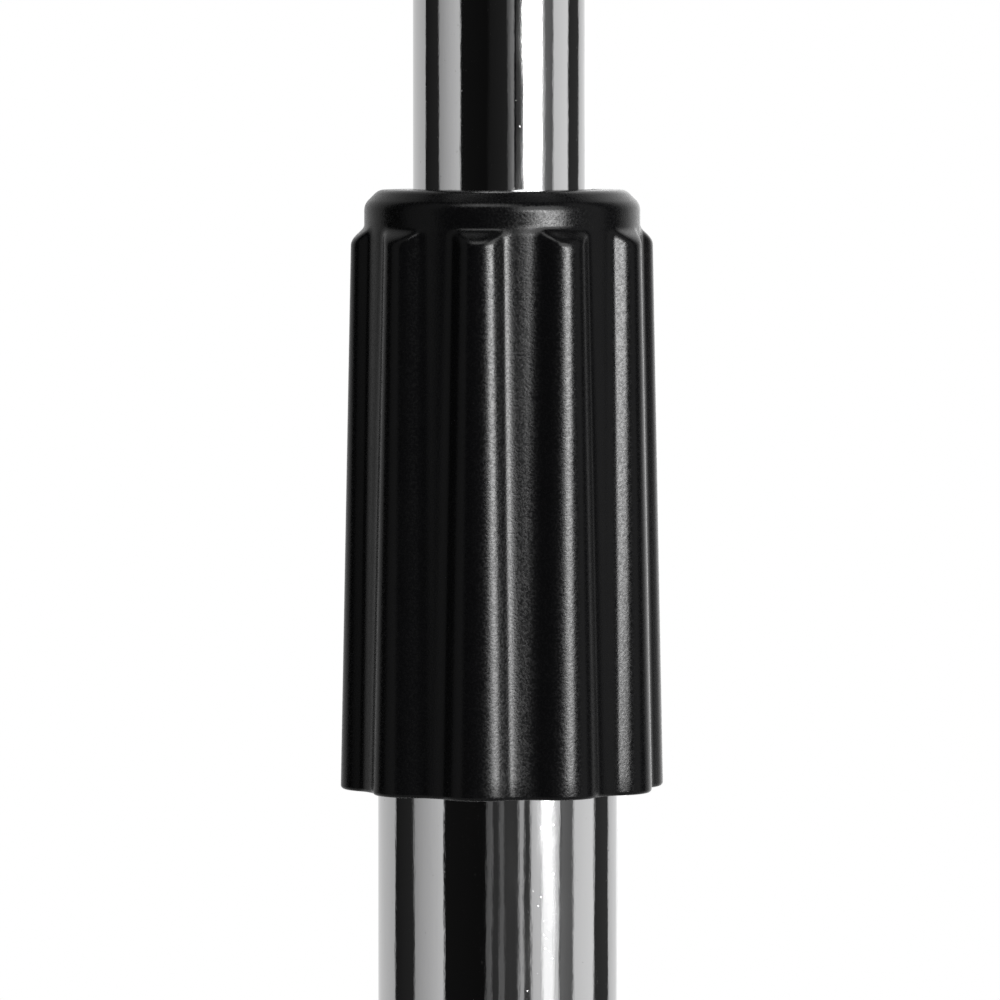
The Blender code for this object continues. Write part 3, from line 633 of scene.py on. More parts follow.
def make_boot(place, degrees, stand, rubber):
    """A moulded boot: a grooved sleeve with a rolled mouth, a round toe and a flat sole."""
    stations = leg_stations()
    tip, way = stations[-1]
    start, run = stations[-1 - BOOT_STEPS]
    sleeve = [leg_ring((start, run), LEG_WIDTH + BOOT_MOUTH_SIZE, LEG_DEPTH + BOOT_MOUTH_SIZE)]
    mouth = start - run * BOOT_MOUTH_STEP
    sleeve.append(leg_ring((mouth, run), LEG_WIDTH + BOOT_LIP_SIZE, LEG_DEPTH + BOOT_LIP_SIZE))
    for share in np.linspace(0, BOOT_STEPS, BOOT_RINGS + 1):
        near = min(int(share), BOOT_STEPS - 1)
        (low, low_way), (high, high_way) = stations[near - 1 - BOOT_STEPS:][:2]
        center = low.lerp(high, share - near)
        grow = boot_size((tip - center).length)
        heading = low_way.lerp(high_way, share - near).normalized()
        sleeve.append(leg_ring((center, heading), LEG_WIDTH + grow, LEG_DEPTH + grow))
    for a in np.radians(np.linspace(10, 90, 9)):
        shrink = 1 - BOOT_TOE_SHRINK * (1 - math.cos(a))
        width, depth = (LEG_WIDTH + 2 * BOOT_WALL) * shrink, (LEG_DEPTH + 2 * BOOT_WALL) * shrink
        sleeve.append(leg_ring((tip + way * BOOT_TOE * math.sin(a), way), width, depth))
    boot = skin([[pressed(point) for point in points] for points in sleeve], "capped")
    pocket = [*stations[-4 - BOOT_STEPS:-1], (tip + way * GAP, way)]
    boot = cut(boot, leg_tube(pocket, LEG_WIDTH + 2 * GAP, LEG_DEPTH + 2 * GAP))
    piece("boot_" + place, turned_to(boot, degrees), rubber, "foot_" + place, stand, sharp=60)


def hub_solid():
    """The hub before it is cast: a drum that flares into a neck, and three oval arms that run into it."""
    low, rise = HUB_FLARE_LOW_Z, HUB_FLARE_HEIGHT
    angles = np.radians(np.linspace(90, 0, 19))
    neck = [(HUB_R - HUB_FLARE * math.sin(a), low + rise * (1 - math.cos(a))) for a in angles]
    outline = [
        (HUB_TOP_FACE_R, HUB_HIGH_Z),
        (HUB_TOP_R, HUB_HIGH_Z),
        *neck,
        (HUB_R, HUB_LOW_Z + 8 * MM),
        (HUB_R - 2 * MM, HUB_LOW_Z + 2 * MM),
        (HUB_R - 4 * MM, HUB_LOW_Z),
    ]
    width, depth = LEG_WIDTH + 2 * ARM_WALL, LEG_DEPTH + 2 * ARM_WALL
    shapes = [turned(outline, 128, "capped")]
    for degrees in LEG_AZIMUTHS.values():
        shapes.append(turned_to(leg_tube(straight(ARM_ROOT, ARM_REACH), width, depth), degrees))
    return merged(shapes)


def make_hub(stand, paint):
    """The cast hub, with its column socket, counterbore, leg sockets and screw holes."""
    floor_z = LOWER_TUBE_LOW.z - GAP
    wide = [rod(LOWER_TUBE_R + GAP, floor_z, HUB_HIGH_Z + 5 * MM, 96)]
    wide.append(rod(COUNTERBORE_R, HUB_LOW_Z - 5 * MM, HUB_LOW_Z + COUNTERBORE_DEPTH))
    narrow = [rod(COLUMN_BOLT_HOLE_R, HUB_LOW_Z + 2 * MM, floor_z + 5 * MM, 48)]
    narrow.append(moved(along_y(rod(HUB_GRUB_HOLE_R, -30 * MM, -LOWER_TUBE_R, 48)), z=HUB_GRUB_Z))
    for degrees in LEG_AZIMUTHS.values():
        stations = straight(LEG_ROOT - GAP, ARM_REACH + 10 * MM)
        socket = leg_tube(stations, LEG_WIDTH + 2 * GAP, LEG_DEPTH + 2 * GAP)
        wide.append(turned_to(socket, degrees))
        hole = moved(rod(SCREW_HOLE_R, LEG_Z - 16 * MM, LEG_Z, 32), x=SCREW_REACH)
        narrow.append(turned_to(hole, degrees))
    hub = cut(cast(hub_solid(), 0.9 * MM, 7), merged(wide), merged(narrow))
    piece("hub_casting", hub, paint, "hub", stand, sharp=50)


def button_screw():
    """A button-head screw with a hexagon socket, its head's underside at height 0."""
    outline = [
        *quarter(SCREW_HEAD_R, SCREW_HEAD_HEIGHT, 72, 9),
        (SCREW_R, 0),
        (SCREW_R, SCREW_LENGTH - SCREW_TIP),
        (SCREW_R - SCREW_TIP, SCREW_LENGTH),
    ]
    return cut(turned(outline, 64, "capped"), hexagon(3 * MM, -5 * MM, -1 * MM))


def grub_screw(radius, inner, outer):
    """A cup-point set screw with a hexagon socket, lying along -Y from the column."""
    outline = [
        (radius - SCREW_TIP, -outer),
        (radius, -outer + SCREW_TIP),
        (radius, -inner - SCREW_TIP),
        (radius - SCREW_TIP, -inner),
    ]
    socket = hexagon(radius * 0.95, -outer - 1 * MM, -outer + 2.5 * MM)
    return along_y(cut(turned(outline, 64, "capped"), socket))


def make_base(stand, paint, rubber, steel):
    for place, degrees in LEG_AZIMUTHS.items():
        make_leg(place, degrees, stand, paint)
        make_boot(place, degrees, stand, rubber)
        screw = moved(button_screw(), x=SCREW_REACH, z=LEG_Z - LEG_DEPTH / 2 - ARM_WALL - GAP)
        piece("button_screw_" + place, turned_to(screw, degrees), steel, "leg_screw_" + place, stand)
    make_hub(stand, paint)
    grub = moved(grub_screw(HUB_GRUB_R, LOWER_TUBE_R + GAP, HUB_GRUB_REACH), z=HUB_GRUB_Z)
    piece("hub_set_screw", grub, steel, "hub_grub_screw", stand)
    low, high = (corner.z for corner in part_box("column_bolt"))
    top = low + HEX_HEAD_HEIGHT
    head = [(HEX_HEAD_R - 1.3 * MM, low), (HEX_HEAD_R, low + 0.8 * MM), (HEX_HEAD_R, top)]
    shank = [
        (COLUMN_BOLT_R, top - 1 * MM),
        (COLUMN_BOLT_R, high - BOLT_TIP),
        (COLUMN_BOLT_R - BOLT_TIP, high),
    ]
    bolt = combined(turned(head, 6, "capped"), turned(shank, 64, "capped"))
    piece("column_hex_bolt", bolt, steel, "column_bolt", stand)


# ---------------------------------------------------------------- column


def make_tubes(stand, chrome):
    """The two plated tubes; the upper one has a bead rolled out above its lower end."""
    low, high = LOWER_TUBE_LOW.z, LOWER_TUBE_HIGH.z
    lower = washer(LOWER_TUBE_BORE_R, LOWER_TUBE_R, low, high, TUBE_EDGE, TUBE_SIDES)
    piece("lower_tube_plated", lower, chrome, "lower_tube", stand)
    low, high = UPPER_TUBE_LOW.z, UPPER_TUBE_HIGH.z
    bead_z = low + BEAD_HEIGHT
    profile = [
        (UPPER_TUBE_BORE_R, low),
        (UPPER_TUBE_R - TUBE_EDGE, low),
        (UPPER_TUBE_R, low + TUBE_EDGE),
        (UPPER_TUBE_R, bead_z - BEAD_HALF),
        *arc((UPPER_TUBE_R - BEAD_SINK, bead_z), BEAD_R, -70, 70, 12),
        (UPPER_TUBE_R, bead_z + BEAD_HALF),
        (UPPER_TUBE_R, high - TUBE_EDGE),
        (UPPER_TUBE_R - TUBE_EDGE, high),
        (UPPER_TUBE_BORE_R, high),
    ]
    piece("upper_tube_plated", turned(profile, TUBE_SIDES), chrome, "upper_tube", stand)


# Clutch grip, measured up from its lower rim.
GRIP_HEIGHT = 53.4 * MM
COLLAR_R = 12.3 * MM
GROOVE_FOOT_R = 13.25 * MM
RIB_COUNT = 10
RIB_PITCH = TAU / RIB_COUNT
RIB_PHASE = math.radians(-9.8)
RIB_TOP_HEIGHT = 1.25 * MM
RIB_FOOT_HEIGHT = 1.28 * MM
RIB_TOP_FLANK = math.radians(36)
RIB_FOOT_FLANK = math.radians(29)
CROWN_TOP_R = 2.6 * MM
CROWN_FOOT_R = 4.3 * MM
FILLET_TOP_R = 1.8 * MM
FILLET_FOOT_R = 2.8 * MM
RIB_END_ROUND = 0.6 * MM
SHOULDER_FILLET = 0.35 * MM
SHOULDER_Z = 50.0 * MM
SHOULDER_SLOPE = 1.2
TOP_CHAMFER = 1.3 * MM
CHAMFER_FOOT_ROUND = 1.3 * MM
CHAMFER_TOP_ROUND = 1.2 * MM
FOOT_ROUND = 0.35 * MM
GRIP_HOLE_R = 8.25 * MM
GRIP_HOLE_RIM = 0.4 * MM
THREAD_R = 11.45 * MM
THREAD_PITCH = 1.5 * MM
THREAD_DEPTH = 0.25 * MM
SKIRT_BORE_R = 12.2 * MM
SKIRT_DEPTH = 12 * MM
SEAT_Z = 47.7 * MM
GRIP_SIDES = 54 * RIB_COUNT
RIB_END_LOW_Z = 46.3 * MM  # from here up the rings stand close together
COLLAR_LOW_Z = 51.6 * MM


def smooth_max(first, second, blend):
    """The larger of two heights, with a fillet of about blend where they cross."""
    near = np.maximum(blend - np.abs(first - second), 0) / blend
    return np.maximum(first, second) + near * near * blend / 4


def rib_section(across, share):
    """A rib's height over the groove floor, at a share of the grip's height: crown, flanks and fillets."""
    crown_r = CROWN_FOOT_R + (CROWN_TOP_R - CROWN_FOOT_R) * share
    fillet_r = FILLET_FOOT_R + (FILLET_TOP_R - FILLET_FOOT_R) * share**2
    rise = RIB_FOOT_HEIGHT + (RIB_TOP_HEIGHT - RIB_FOOT_HEIGHT) * share
    flank = RIB_FOOT_FLANK + (RIB_TOP_FLANK - RIB_FOOT_FLANK) * share
    steep, level = math.sin(flank), math.cos(flank)
    crown_end = crown_r * steep
    flank_top = rise - crown_r * (1 - level)
    flank_end = crown_end + (flank_top - fillet_r * (1 - level)) * level / steep
    foot = flank_end + fillet_r * steep
    across = np.abs(across)
    crown = rise - crown_r + np.sqrt(np.maximum(crown_r**2 - across**2, 0))
    side = flank_top - (across - crown_end) * steep / level
    fillet = fillet_r - np.sqrt(np.maximum(fillet_r**2 - (foot - across) ** 2, 0))
    return np.select([across < crown_end, across < flank_end, across < foot], [crown, side, fillet], 0.0)


def grip_radius(angles, height):
    """The grip's outer radius round one ring: tapered groove floors, and ribs with sloped upper ends."""
    share = min(max(height / SHOULDER_Z, 0.0), 1.0)
    floor = GROOVE_FOOT_R + (COLLAR_R - GROOVE_FOOT_R) * share
    offset = (angles - RIB_PHASE + RIB_PITCH / 2) % RIB_PITCH - RIB_PITCH / 2
    rib = rib_section(floor * offset, share)
    slope = (SHOULDER_Z - height) * SHOULDER_SLOPE
    rib = -smooth_max(-rib, np.full_like(rib, -slope), RIB_END_ROUND)
    return floor + smooth_max(rib, np.zeros_like(rib), SHOULDER_FILLET)


def collar_edge():
    """(radius, height) points of the collar's top edge: a 45 degree chamfer with both its edges rounded."""
    turn = math.tan(math.radians(22.5))
    lower, upper = CHAMFER_FOOT_ROUND, CHAMFER_TOP_ROUND
    lower_center = (COLLAR_R - lower, GRIP_HEIGHT - TOP_CHAMFER - lower * turn)
    upper_center = (COLLAR_R - TOP_CHAMFER - upper * turn, GRIP_HEIGHT - upper)
    return arc(lower_center, lower, 0, 45, 8) + arc(upper_center, upper, 45, 90, 6)


def make_grip(finish):
    """The fluted grip: its outside from the rim up, then its hole, thread and skirt from the top down."""
    angles = np.arange(GRIP_SIDES) * TAU / GRIP_SIDES
    around = np.stack([np.sin(angles), -np.cos(angles)], 1)

    def ring(height, radius):
        flat = around * (radius[:, None] if isinstance(radius, np.ndarray) else radius)
        points = np.column_stack([flat, np.full(GRIP_SIDES, height)])
        return points + np.array([COLUMN.x, COLUMN.y, GRIP_LOW.z])

    rings = []
    for a in np.radians(np.linspace(0, 90, 10)):
        height = FOOT_ROUND * (1 - math.sin(a))
        rings.insert(0, ring(height, grip_radius(angles, FOOT_ROUND) - FOOT_ROUND * (1 - math.cos(a))))
    heights = [*np.linspace(2 * MM, 46 * MM, 23), *np.linspace(RIB_END_LOW_Z, COLLAR_LOW_Z, 29)[:-1]]
    rings += [ring(height, grip_radius(angles, height)) for height in heights]
    rings += [ring(height, radius) for radius, height in collar_edge()]
    rim = GRIP_HOLE_RIM
    for a in np.radians(np.linspace(90, 0, 5)):
        rings.append(ring(GRIP_HEIGHT - rim * (1 - math.sin(a)), GRIP_HOLE_R + rim * (1 - math.cos(a))))
    rings += [ring(SEAT_Z, GRIP_HOLE_R), ring(SEAT_Z, THREAD_R)]
    z = SEAT_Z - THREAD_PITCH
    while z > SKIRT_DEPTH + THREAD_PITCH:
        rings += [ring(z, THREAD_R), ring(z - THREAD_PITCH / 2, THREAD_R + THREAD_DEPTH)]
        z -= THREAD_PITCH
    rings += [ring(SKIRT_DEPTH, THREAD_R), ring(SKIRT_DEPTH - 0.8 * MM, SKIRT_BORE_R)]
    rings += [ring(0.3 * MM, SKIRT_BORE_R), ring(0, SKIRT_BORE_R + 0.3 * MM)]
    piece("clutch_grip_fluted", skin(rings), finish, "clutch_grip")


# ---------------------------------------------------------------- head and desk


def make_head(pivot, paint, steel):
    """A cast socket on the tube's end, with a level barrel for the pivot bolt."""
    low = HEAD_LOW_Z
    profile = [
        (HEAD_BARREL_R - 1 * MM, low),
        (HEAD_BARREL_R, low + 1 * MM),
        (HEAD_BARREL_R, HEAD_SOCKET_TOP_Z),
        (HEAD_WAIST_R, HEAD_WAIST_Z),
        (HEAD_TOP_R, HEAD_TOP_Z),
    ]
    barrel = along_x(rod(HEAD_BARREL_R, -HEAD_BARREL_HALF, HEAD_BARREL_HALF, 96))
    head = cast(merged([turned(profile, 96, "capped"), barrel]), 0.5 * MM, 4)
    head = cut(
        head,
        rod(UPPER_TUBE_R + GAP, low - 2 * MM, -TUBE_TO_PIVOT + GAP, 96),
        along_x(rod(BOLT_HOLE_R, -20 * MM, 20 * MM)),
        moved(along_y(rod(HEAD_GRUB_HOLE_R, UPPER_TUBE_R, 20 * MM)), z=HEAD_GRUB_Z),
    )
    piece("head_casting", head, paint, "tilt_head", pivot, sharp=50)
    screw = grub_screw(HEAD_GRUB_R, UPPER_TUBE_R + GAP, HEAD_GRUB_REACH)
    piece("head_set_screw", moved(turned_to(screw, 180), z=HEAD_GRUB_Z), steel, "head_grub_screw", pivot)


def make_pivot_hardware(desk, steel, fibre):
    """Friction washers beside the barrel, a plain washer under the knob, and the bolt through them all."""
    low = HEAD_BARREL_HALF + GAP
    for side, place in ((-1, "left"), (1, "right")):
        start = low if side > 0 else -low - WASHER_THICKNESS
        disc = along_x(washer(BOLT_HOLE_R, FIBRE_WASHER_R, start, start + WASHER_THICKNESS))
        piece("fibre_washer_" + place, disc, fibre, "friction_washer_" + place, desk)
    start = EAR_OUTER_X + GAP
    disc = along_x(washer(BOLT_HOLE_R, STEEL_WASHER_R, start, start + WASHER_THICKNESS))
    piece("plain_washer", disc, steel, "knob_washer", desk)
    head_x = -EAR_OUTER_X - GAP
    dome = quarter(BOLT_HEAD_R, BOLT_HEAD_DOME, 84, 12)
    end = KNOB_X + KNOB_BORE_DEPTH - 1.5 * MM
    outline = [
        *((radius, head_x - BOLT_HEAD_RIM + height) for radius, height in dome),
        (BOLT_HEAD_R, head_x),
        (BOLT_R, head_x),
        (BOLT_R, end - BOLT_TIP),
        (BOLT_R - BOLT_TIP, end),
    ]
    bolt = cut(turned(outline, 96, "capped"), hexagon(4 * MM, head_x - 8 * MM, head_x - 1.8 * MM))
    piece("pivot_cap_bolt", along_x(bolt), steel, "pivot_bolt", desk)


def knob_ring(height, size, lobe):
    """A ring of the knob's skin, round where lobe is 0."""
    angles = np.arange(KNOB_SIDES) * TAU / KNOB_SIDES
    wave = np.cos(KNOB_LOBES * angles)
    radius = size + lobe * (wave - 0.18 * (1 - wave**2))
    return np.column_stack([radius * np.cos(angles), radius * np.sin(angles), np.full(KNOB_SIDES, height)])


def make_knob(desk, plastic):
    """A five-lobed clamping knob: a round boss, rounded lobes, and a low cap inside a ring groove."""
    low = KNOB_X
    face, crown = low + KNOB_BOSS_LENGTH, low + KNOB_LENGTH
    mean, lobe, under, edge = KNOB_R - KNOB_LOBE, KNOB_LOBE, KNOB_UNDER_ROUND, KNOB_EDGE_ROUND
    rings = [knob_ring(low + KNOB_BORE_DEPTH, KNOB_BORE_R, 0), knob_ring(low, KNOB_BORE_R, 0)]
    rings.append(knob_ring(low, KNOB_BOSS_R - KNOB_BREAK, 0))
    rings.append(knob_ring(low + KNOB_BREAK, KNOB_BOSS_R, 0))
    rings.append(knob_ring(face - 1 * MM, KNOB_BOSS_R + 0.6 * MM, 0))
    rings.append(knob_ring(face - KNOB_BREAK, KNOB_BOSS_R + 1.6 * MM, KNOB_BREAK))
    rings.append(knob_ring(face, mean - 2 * under, lobe))
    for a in np.radians(np.linspace(0, 90, 7)[1:]):
        size = mean - under * (1 - math.sin(a))
        rings.append(knob_ring(face + under * (1 - math.cos(a)), size, lobe))
    for a in np.radians(np.linspace(0, 90, 13)):
        size = mean - edge * (1 - math.cos(a))
        rings.append(knob_ring(crown - edge * (1 - math.sin(a)), size, lobe * (0.7 + 0.3 * math.cos(a))))
    rings.append(knob_ring(crown, mean - 4.2 * MM, lobe * 0.5))
    rings.append(knob_ring(crown - 0.25 * MM, KNOB_LIP_R, 0))
    groove = crown - KNOB_GROOVE_DEPTH
    rings += [knob_ring(groove, KNOB_GROOVE_R, 0), knob_ring(groove, KNOB_GROOVE_INNER_R, 0)]
    for share in (1.0, 0.8, 0.6, 0.4, 0.2, 0.06):
        height = crown - KNOB_CAP_SINK - KNOB_CAP_DOME * share**2
        rings.append(knob_ring(height, KNOB_CAP_R * share, 0))
    piece("lobed_knob", along_x(skin(rings, "capped")), plastic, "tilt_knob", desk)


def bracket_ear(side):
    """A side ear of the bracket: a teardrop that runs from the plate to a round eye at the pivot."""
    plate_y = DESK_Y + SHEET / 2 + GAP + BRACKET_SHEET - 1 * MM
    outline = [(plate_y, -EAR_HALF_FOOT), *arc((0, 0), EAR_EYE_R, -72, 72, 32), (plate_y, EAR_HALF_FOOT)]
    ear = along_x(extruded([(-z, y) for y, z in outline], EAR_INNER_X, EAR_OUTER_X))
    if side < 0:
        ear.transform(Matrix.Rotation(math.pi, 4, "Y"))
    return ear


def make_bracket(desk, paint):
    """A stamped bracket: a plate behind the desk, with an ear bent back on each side of the head."""
    low = -(DESK_Y + SHEET / 2 + GAP) - BRACKET_SHEET
    outline = rounded_rectangle(BRACKET_HALF_WIDTH, BRACKET_HALF_HEIGHT, BRACKET_CORNER_R)
    plate = extruded(outline, low, low + BRACKET_SHEET)
    plate.transform(Matrix.Rotation(math.pi / 2, 4, "X"))
    bracket = combined(combined(plate, bracket_ear(-1)), bracket_ear(1))
    bracket = cut(bracket, along_x(rod(BOLT_HOLE_R, -30 * MM, 30 * MM)), rivet_holes())
    bracket = eased(bracket, 0.35 * MM, 3, 50)
    piece("bracket_stamping", bracket, paint, "desk_bracket", desk, sharp=40, weighted=True)


def rivet_places():
    """Each rivet's name and its (x, z) on the desk."""
    sides = {"left": -RIVET_X, "right": RIVET_X}
    rows = {"lower": -RIVET_Z, "upper": RIVET_Z}
    return {f"{row}_{side}": (x, z) for side, x in sides.items() for row, z in rows.items()}


def rivet_holes():
    places = rivet_places().values()
    return merged([moved(along_y(rod(RIVET_HOLE_R, -50 * MM, -20 * MM, 32)), x=x, z=z) for x, z in places])


def make_rivets(desk, steel):
    """Domed rivets, each with a rolled, hollow tail behind the bracket."""
    front = DESK_Y - SHEET / 2 - GAP
    back = DESK_Y + SHEET / 2 + GAP + BRACKET_SHEET + GAP
    dome = quarter(RIVET_HEAD_R, RIVET_HEAD_HEIGHT, 85, 17)
    outline = [
        *((radius, front + height) for radius, height in dome),
        (RIVET_R, front),
        (RIVET_R, back),
        (RIVET_TAIL_R, back),
        (RIVET_TAIL_R, back + 0.8 * MM),
        (RIVET_TAIL_R - 0.4 * MM, back + RIVET_TAIL_HEIGHT),
        (1.4 * MM, back + RIVET_TAIL_HEIGHT),
        (1.2 * MM, back + 0.5 * MM),
    ]
    for place, (x, z) in rivet_places().items():
        rivet = turned(outline, 64, "capped")
        piece("rivet_" + place, moved(along_y(rivet), x=x, z=z), steel, "bracket_rivet_" + place, desk)


def desk_outline(offset):
    """The desk's left, top and right edges as (x, z) points, grown outwards by offset."""
    half = DESK_WIDTH / 2 - BEND_R
    top = DESK_HALF_HEIGHT - BEND_R
    center = (half - DESK_CORNER_R, top - DESK_CORNER_R)
    right = [(half + offset, -DESK_HALF_HEIGHT), *arc(center, DESK_CORNER_R + offset, 0, 90, 20)]
    return right + [(-x, z) for x, z in reversed(right)]


def ledge_section():
    """(y, z) points of the desk's lower edge: a bend, the ledge, a bend and the curb that keeps pages in."""
    inner = arc((DESK_Y - BEND_R, -DESK_HALF_HEIGHT), BEND_R, 0, -90, 9)
    curb_y = DESK_Y - LEDGE_DEPTH
    ledge_z = -DESK_HALF_HEIGHT - BEND_R
    outer = arc((curb_y + BEND_R, ledge_z + BEND_R), BEND_R, 270, 180, 9)
    return [*inner, *outer, (curb_y, ledge_z + CURB_HEIGHT)]


def slot_cutter(x, z):
    """A vertical vent slot's cutter, through the sheet."""
    radius = SLOT_WIDTH / 2
    reach = SLOT_LENGTH / 2 - radius
    outline = arc((x, z + reach), radius, 0, 180, 16) + arc((x, z - reach), radius, 180, 360, 16)
    cutter = extruded(outline, -DESK_Y - 5 * MM, -DESK_Y + 5 * MM)
    cutter.transform(Matrix.Rotation(math.pi / 2, 4, "X"))
    return cutter


def make_desk(desk, paint):
    """One sheet of steel: the desk with its back-turned rim, and the ledge bent forward with its curb."""
    bm = bmesh.new()
    bends = [(BEND_R * math.sin(a), BEND_R * (1 - math.cos(a))) for a in np.radians(np.linspace(0, 90, 10))]
    bends.append((BEND_R, RIM_DEPTH))
    rims = [[bm.verts.new((x, DESK_Y + back, z)) for x, z in desk_outline(out)] for out, back in bends]
    bm.faces.new(rims[0])
    for near, far in zip(rims, rims[1:]):
        for i in range(len(near) - 1):
            bm.faces.new((near[i], near[i + 1], far[i + 1], far[i]))
    edge = [rims[0][-1], rims[0][0]]
    for y, z in ledge_section()[1:]:
        following = [bm.verts.new((vert.co.x, y, z)) for vert in edge]
        bm.faces.new((edge[0], edge[1], following[1], following[0]))
        edge = following
    tray = modified(bm, "SOLIDIFY", thickness=SHEET, offset=0.0, use_even_offset=True)
    columns = [SLOT_FIRST_X + SLOT_PITCH * i for i in range(SLOT_COLUMNS)]
    places = [(side * x, row) for x in columns for side in (-1, 1) for row in (-SLOT_ROW_Z, SLOT_ROW_Z)]
    tray = cut(tray, merged([slot_cutter(x, z) for x, z in places]), rivet_holes())
    tray = eased(tray, 0.3 * MM, 2, 60)
    piece("desk_sheet", tray, paint, "desk_tray", desk, sharp=40, weighted=True)


# ---------------------------------------------------------------- studio


# The studio's lit panels, as a bright tube shows them: from and to azimuth, in degrees from the camera's side
# towards +X; lowest and highest elevation; brightness at the first and the last azimuth; edge softness; and
# how far the first edge leans towards +X for each degree downwards.
STUDIO = {
    "left_backdrop": (-182, -118, -50, 55, 0.60, 0.42, 1.4, 0),
    "left_gap": (-118, -90, -50, 55, 0.010, 0.018, 1.0, 0),
    "left_card": (-90, -56, -50, 55, 0.28, 0.55, 1.6, 0),
    "dark_side": (-56, 8, -50, 55, 0.0060, 0.0030, 1.5, 0),
    "blind": (-11, 16, -50, -3.5, 0.022, 0.036, 1.2, 0),
    "blind_left_line": (-14, -9, -50, -3.5, 0.088, 0.080, 1.3, 0),
    "blind_mid_line": (-3, 1.5, -50, -3.5, 0.074, 0.074, 1.3, 0),
    "lens_haze": (-18, 8, -3.5, 55, 0.005, 0.013, 3.0, 0),
    "blind_edge": (6, 15.3, -3.5, 55, 0.030, 0.24, 1.3, 0),
    "blind_line": (15.0, 19.5, -50, -3.5, 0.30, 0.38, 1.8, 0),
    "lens_gap": (18, 27, -50, 55, 0.030, 0.040, 1.2, 0),
    "softbox": (29.5, 50.4, -3.8, 9, 45.0, 45.0, 1.5, 1.6),
    "softbox_core": (32.0, 45.0, -3.8, 9, 13.0, 13.0, 2.5, 1.6),
    "softbox_left_halo": (25, 31, -3.8, 9, 0.02, 1.10, 0.8, 0),
    "softbox_right_halo": (50, 57.5, -3.8, 9, 1.30, 0.0, 0.8, 0),
    "softbox_top": (14, 55, 9, 42, 7.0, 7.0, 2.0, 0),
    "softbox_foot": (37.5, 49, -50, -3.8, 1.12, 1.06, 2.0, 0),
    "softbox_corner": (49, 55, -50, -3.8, 0.64, 0.56, 1.3, 0),
    "softbox_skirt": (26.5, 37, -50, -3.5, 0.50, 0.58, 2.0, 0),
    "softbox_stand": (56, 70, -50, 55, 0.13, 0.090, 1.0, 0),
    "right_card": (69.5, 94.5, -50, 55, 0.60, 0.72, 2.0, 0),
    "right_gap": (94.5, 117, -50, 55, 0.024, 0.034, 1.2, 0),
    "right_backdrop": (117, 134, -50, 55, 0.50, 0.80, 1.5, 0),
    "right_window": (134, 182, -50, 55, 1.20, 1.20, 2.5, 0),
    "high_light": (-45, 12, 42, 62, 6.0, 6.0, 3.0, 0),
    "ceiling": (-190, 190, 66, 100, 1.3, 1.3, 4.0, 0),
}
STUDIO_STRENGTH = 1.37
LEAN_LOW, LEAN_HIGH = -7.0, 8.0  # a leaning edge stands upright beyond these elevations


def make_world():
    """The panels light the scene and show in reflections; seen directly, the studio is plain white."""
    world = bpy.data.worlds.new("studio")
    bpy.context.scene.world = world
    world.use_nodes = True
    tree = Tree(world.node_tree)
    way = tree.add("SeparateXYZ", {"Vector": tree.add("TexCoord", output=0)})
    x, y, z = (way.node.outputs[i] for i in range(3))
    azimuth = tree.math("DEGREES", tree.math("ARCTAN2", x, tree.math("MULTIPLY", y, -1.0)))
    elevation = tree.math("DEGREES", tree.math("ARCSINE", z))
    near_level = tree.math("MAXIMUM", tree.math("MINIMUM", elevation, LEAN_HIGH), LEAN_LOW)
    total = None
    for start, end, low, high, first, last, soft, lean in STUDIO.values():
        panel = tree.remap(azimuth, start, end, first, last, smooth=False)
        leaning = tree.math("MULTIPLY_ADD", near_level, float(lean), azimuth)
        edges = ((leaning, start, 1), (azimuth, end, -1), (elevation, low, 1), (elevation, high, -1))
        for value, edge, side in edges:
            window = tree.remap(value, edge - side * soft, edge + side * soft)
            panel = tree.math("MULTIPLY", panel, window)
        total = panel if total is None else tree.math("ADD", total, panel)
    seen = tree.add("LightPath", output=0)
    light = tree.add("Background", {"Color": total, "Strength": STUDIO_STRENGTH})
    white = tree.add("Background", {"Color": (1, 1, 1, 1)})
    tree.add("OutputWorld", {"Surface": tree.add("MixShader", {0: seen, 1: light, 2: white})})


FLOOR_R = 2.6
FLOOR_FADE_R = 0.9


def floor_paper():
    """Pale studio paper that fades out towards the disc's rim."""
    made, tree, place = material("floor_paper")
    reach = tree.add("VectorMath", {"Vector": place}, output=1, operation="LENGTH")
    shown = tree.remap(reach, FLOOR_FADE_R, FLOOR_R * 0.95, 1.0, 0.0)
    grain = tree.bump(tree.noise(place, 700, 3), 0.1 * MM, 0.1)
    surface(tree, Base_Color=(0.50, 0.50, 0.50, 1), Roughness=0.9, Alpha=shown, Normal=grain)
    return made


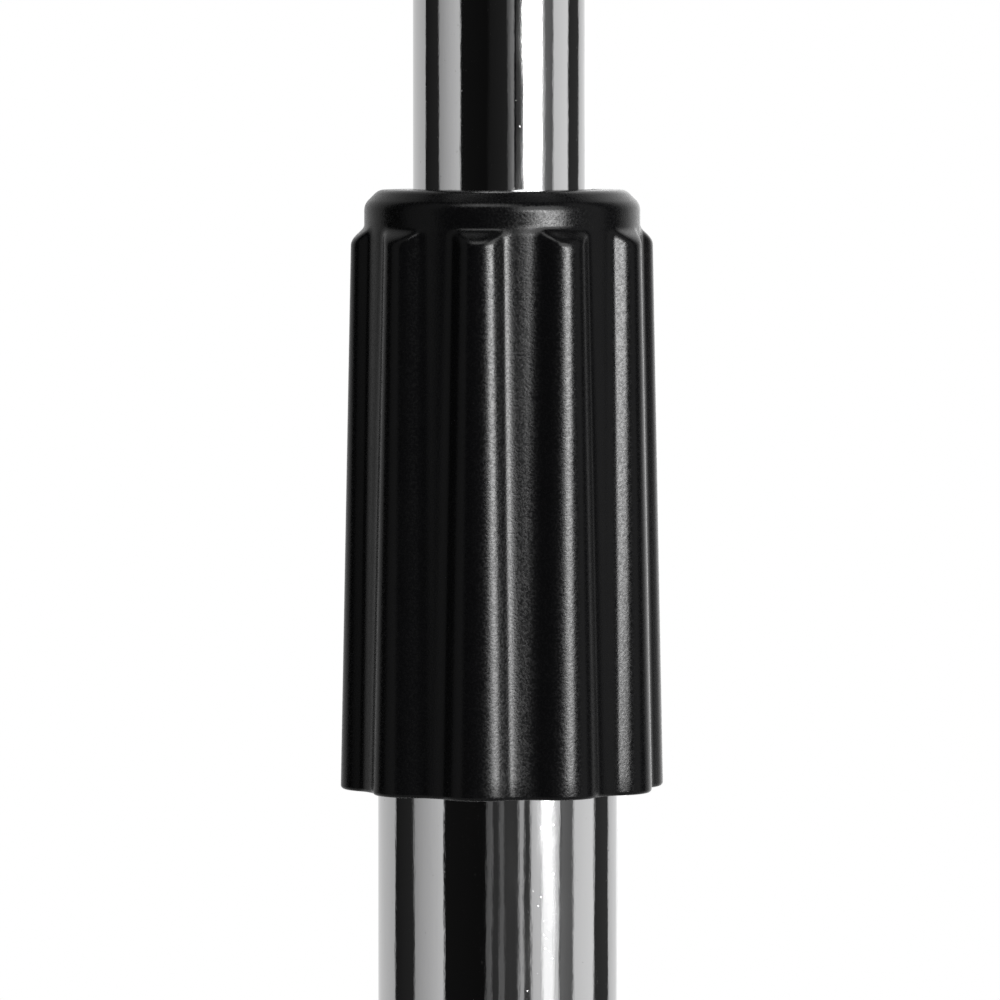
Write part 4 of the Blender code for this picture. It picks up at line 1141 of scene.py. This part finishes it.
def make_floor():
    bm = bmesh.new()
    bmesh.ops.create_circle(bm, cap_ends=True, segments=96, radius=FLOOR_R)
    mesh = bpy.data.meshes.new("floor")
    bm.to_mesh(mesh)
    bm.free()
    mesh.materials.append(floor_paper())
    floor = bpy.data.objects.new("floor", mesh)
    bpy.context.scene.collection.objects.link(floor)


# Camera: a long lens, a little above the clutch and tilted down to it.
CAMERA_DISTANCE = 0.65
CAMERA_ABOVE_CLUTCH = 7 * MM
AIM_BELOW_CLUTCH = 27.7 * MM
AIM_ASIDE = -0.2 * MM
FRAME_WIDTH = 89.3 * MM
SENSOR = 36.0


def make_camera():
    data = bpy.data.cameras.new("camera")
    camera = bpy.data.objects.new("camera", data)
    bpy.context.scene.collection.objects.link(camera)
    top = Vector((COLUMN.x, COLUMN.y, GRIP_LOW.z + GRIP_HEIGHT))
    aim = top + Vector((AIM_ASIDE, 0, -AIM_BELOW_CLUTCH))
    camera.location = top + Vector((AIM_ASIDE, -CAMERA_DISTANCE, CAMERA_ABOVE_CLUTCH))
    away = aim - camera.location
    camera.rotation_euler = away.to_track_quat("-Z", "Y").to_euler()
    data.sensor_width = SENSOR
    data.lens = SENSOR * away.length / FRAME_WIDTH
    data.clip_start = 0.05
    bpy.context.scene.camera = camera


def dress(finish, *names):
    """Gives CAD nodes that show as they are their finish."""
    for name in names:
        for place in frame["nodes"][name].material_slots:
            place.material = finish


def main():
    bpy.context.scene.view_settings.view_transform = "Standard"
    paint, steel, moulded = powder_coat(), zinc_steel(), nylon()
    stand = Matrix.Translation(COLUMN)
    pivot = Matrix.Translation(PIVOT)
    desk = pivot @ Matrix.Rotation(-LEAN, 4, "X")
    make_base(stand, paint, rubber(), steel)
    make_tubes(stand, chrome_plate())
    make_grip(clutch_finish())
    make_head(pivot, paint, steel)
    make_pivot_hardware(desk, steel, friction_fibre())
    make_knob(desk, knob_plastic())
    make_bracket(desk, paint)
    make_rivets(desk, steel)
    make_desk(desk, paint)
    dress(steel, "column_washer", "tube_thread_plug", "collet_seat", "thrust_ring")
    dress(moulded, "split_collet", "guide_bush", "tube_end_plug")
    dress(brass(), "knob_insert")
    make_world()
    make_floor()
    make_camera()


main()
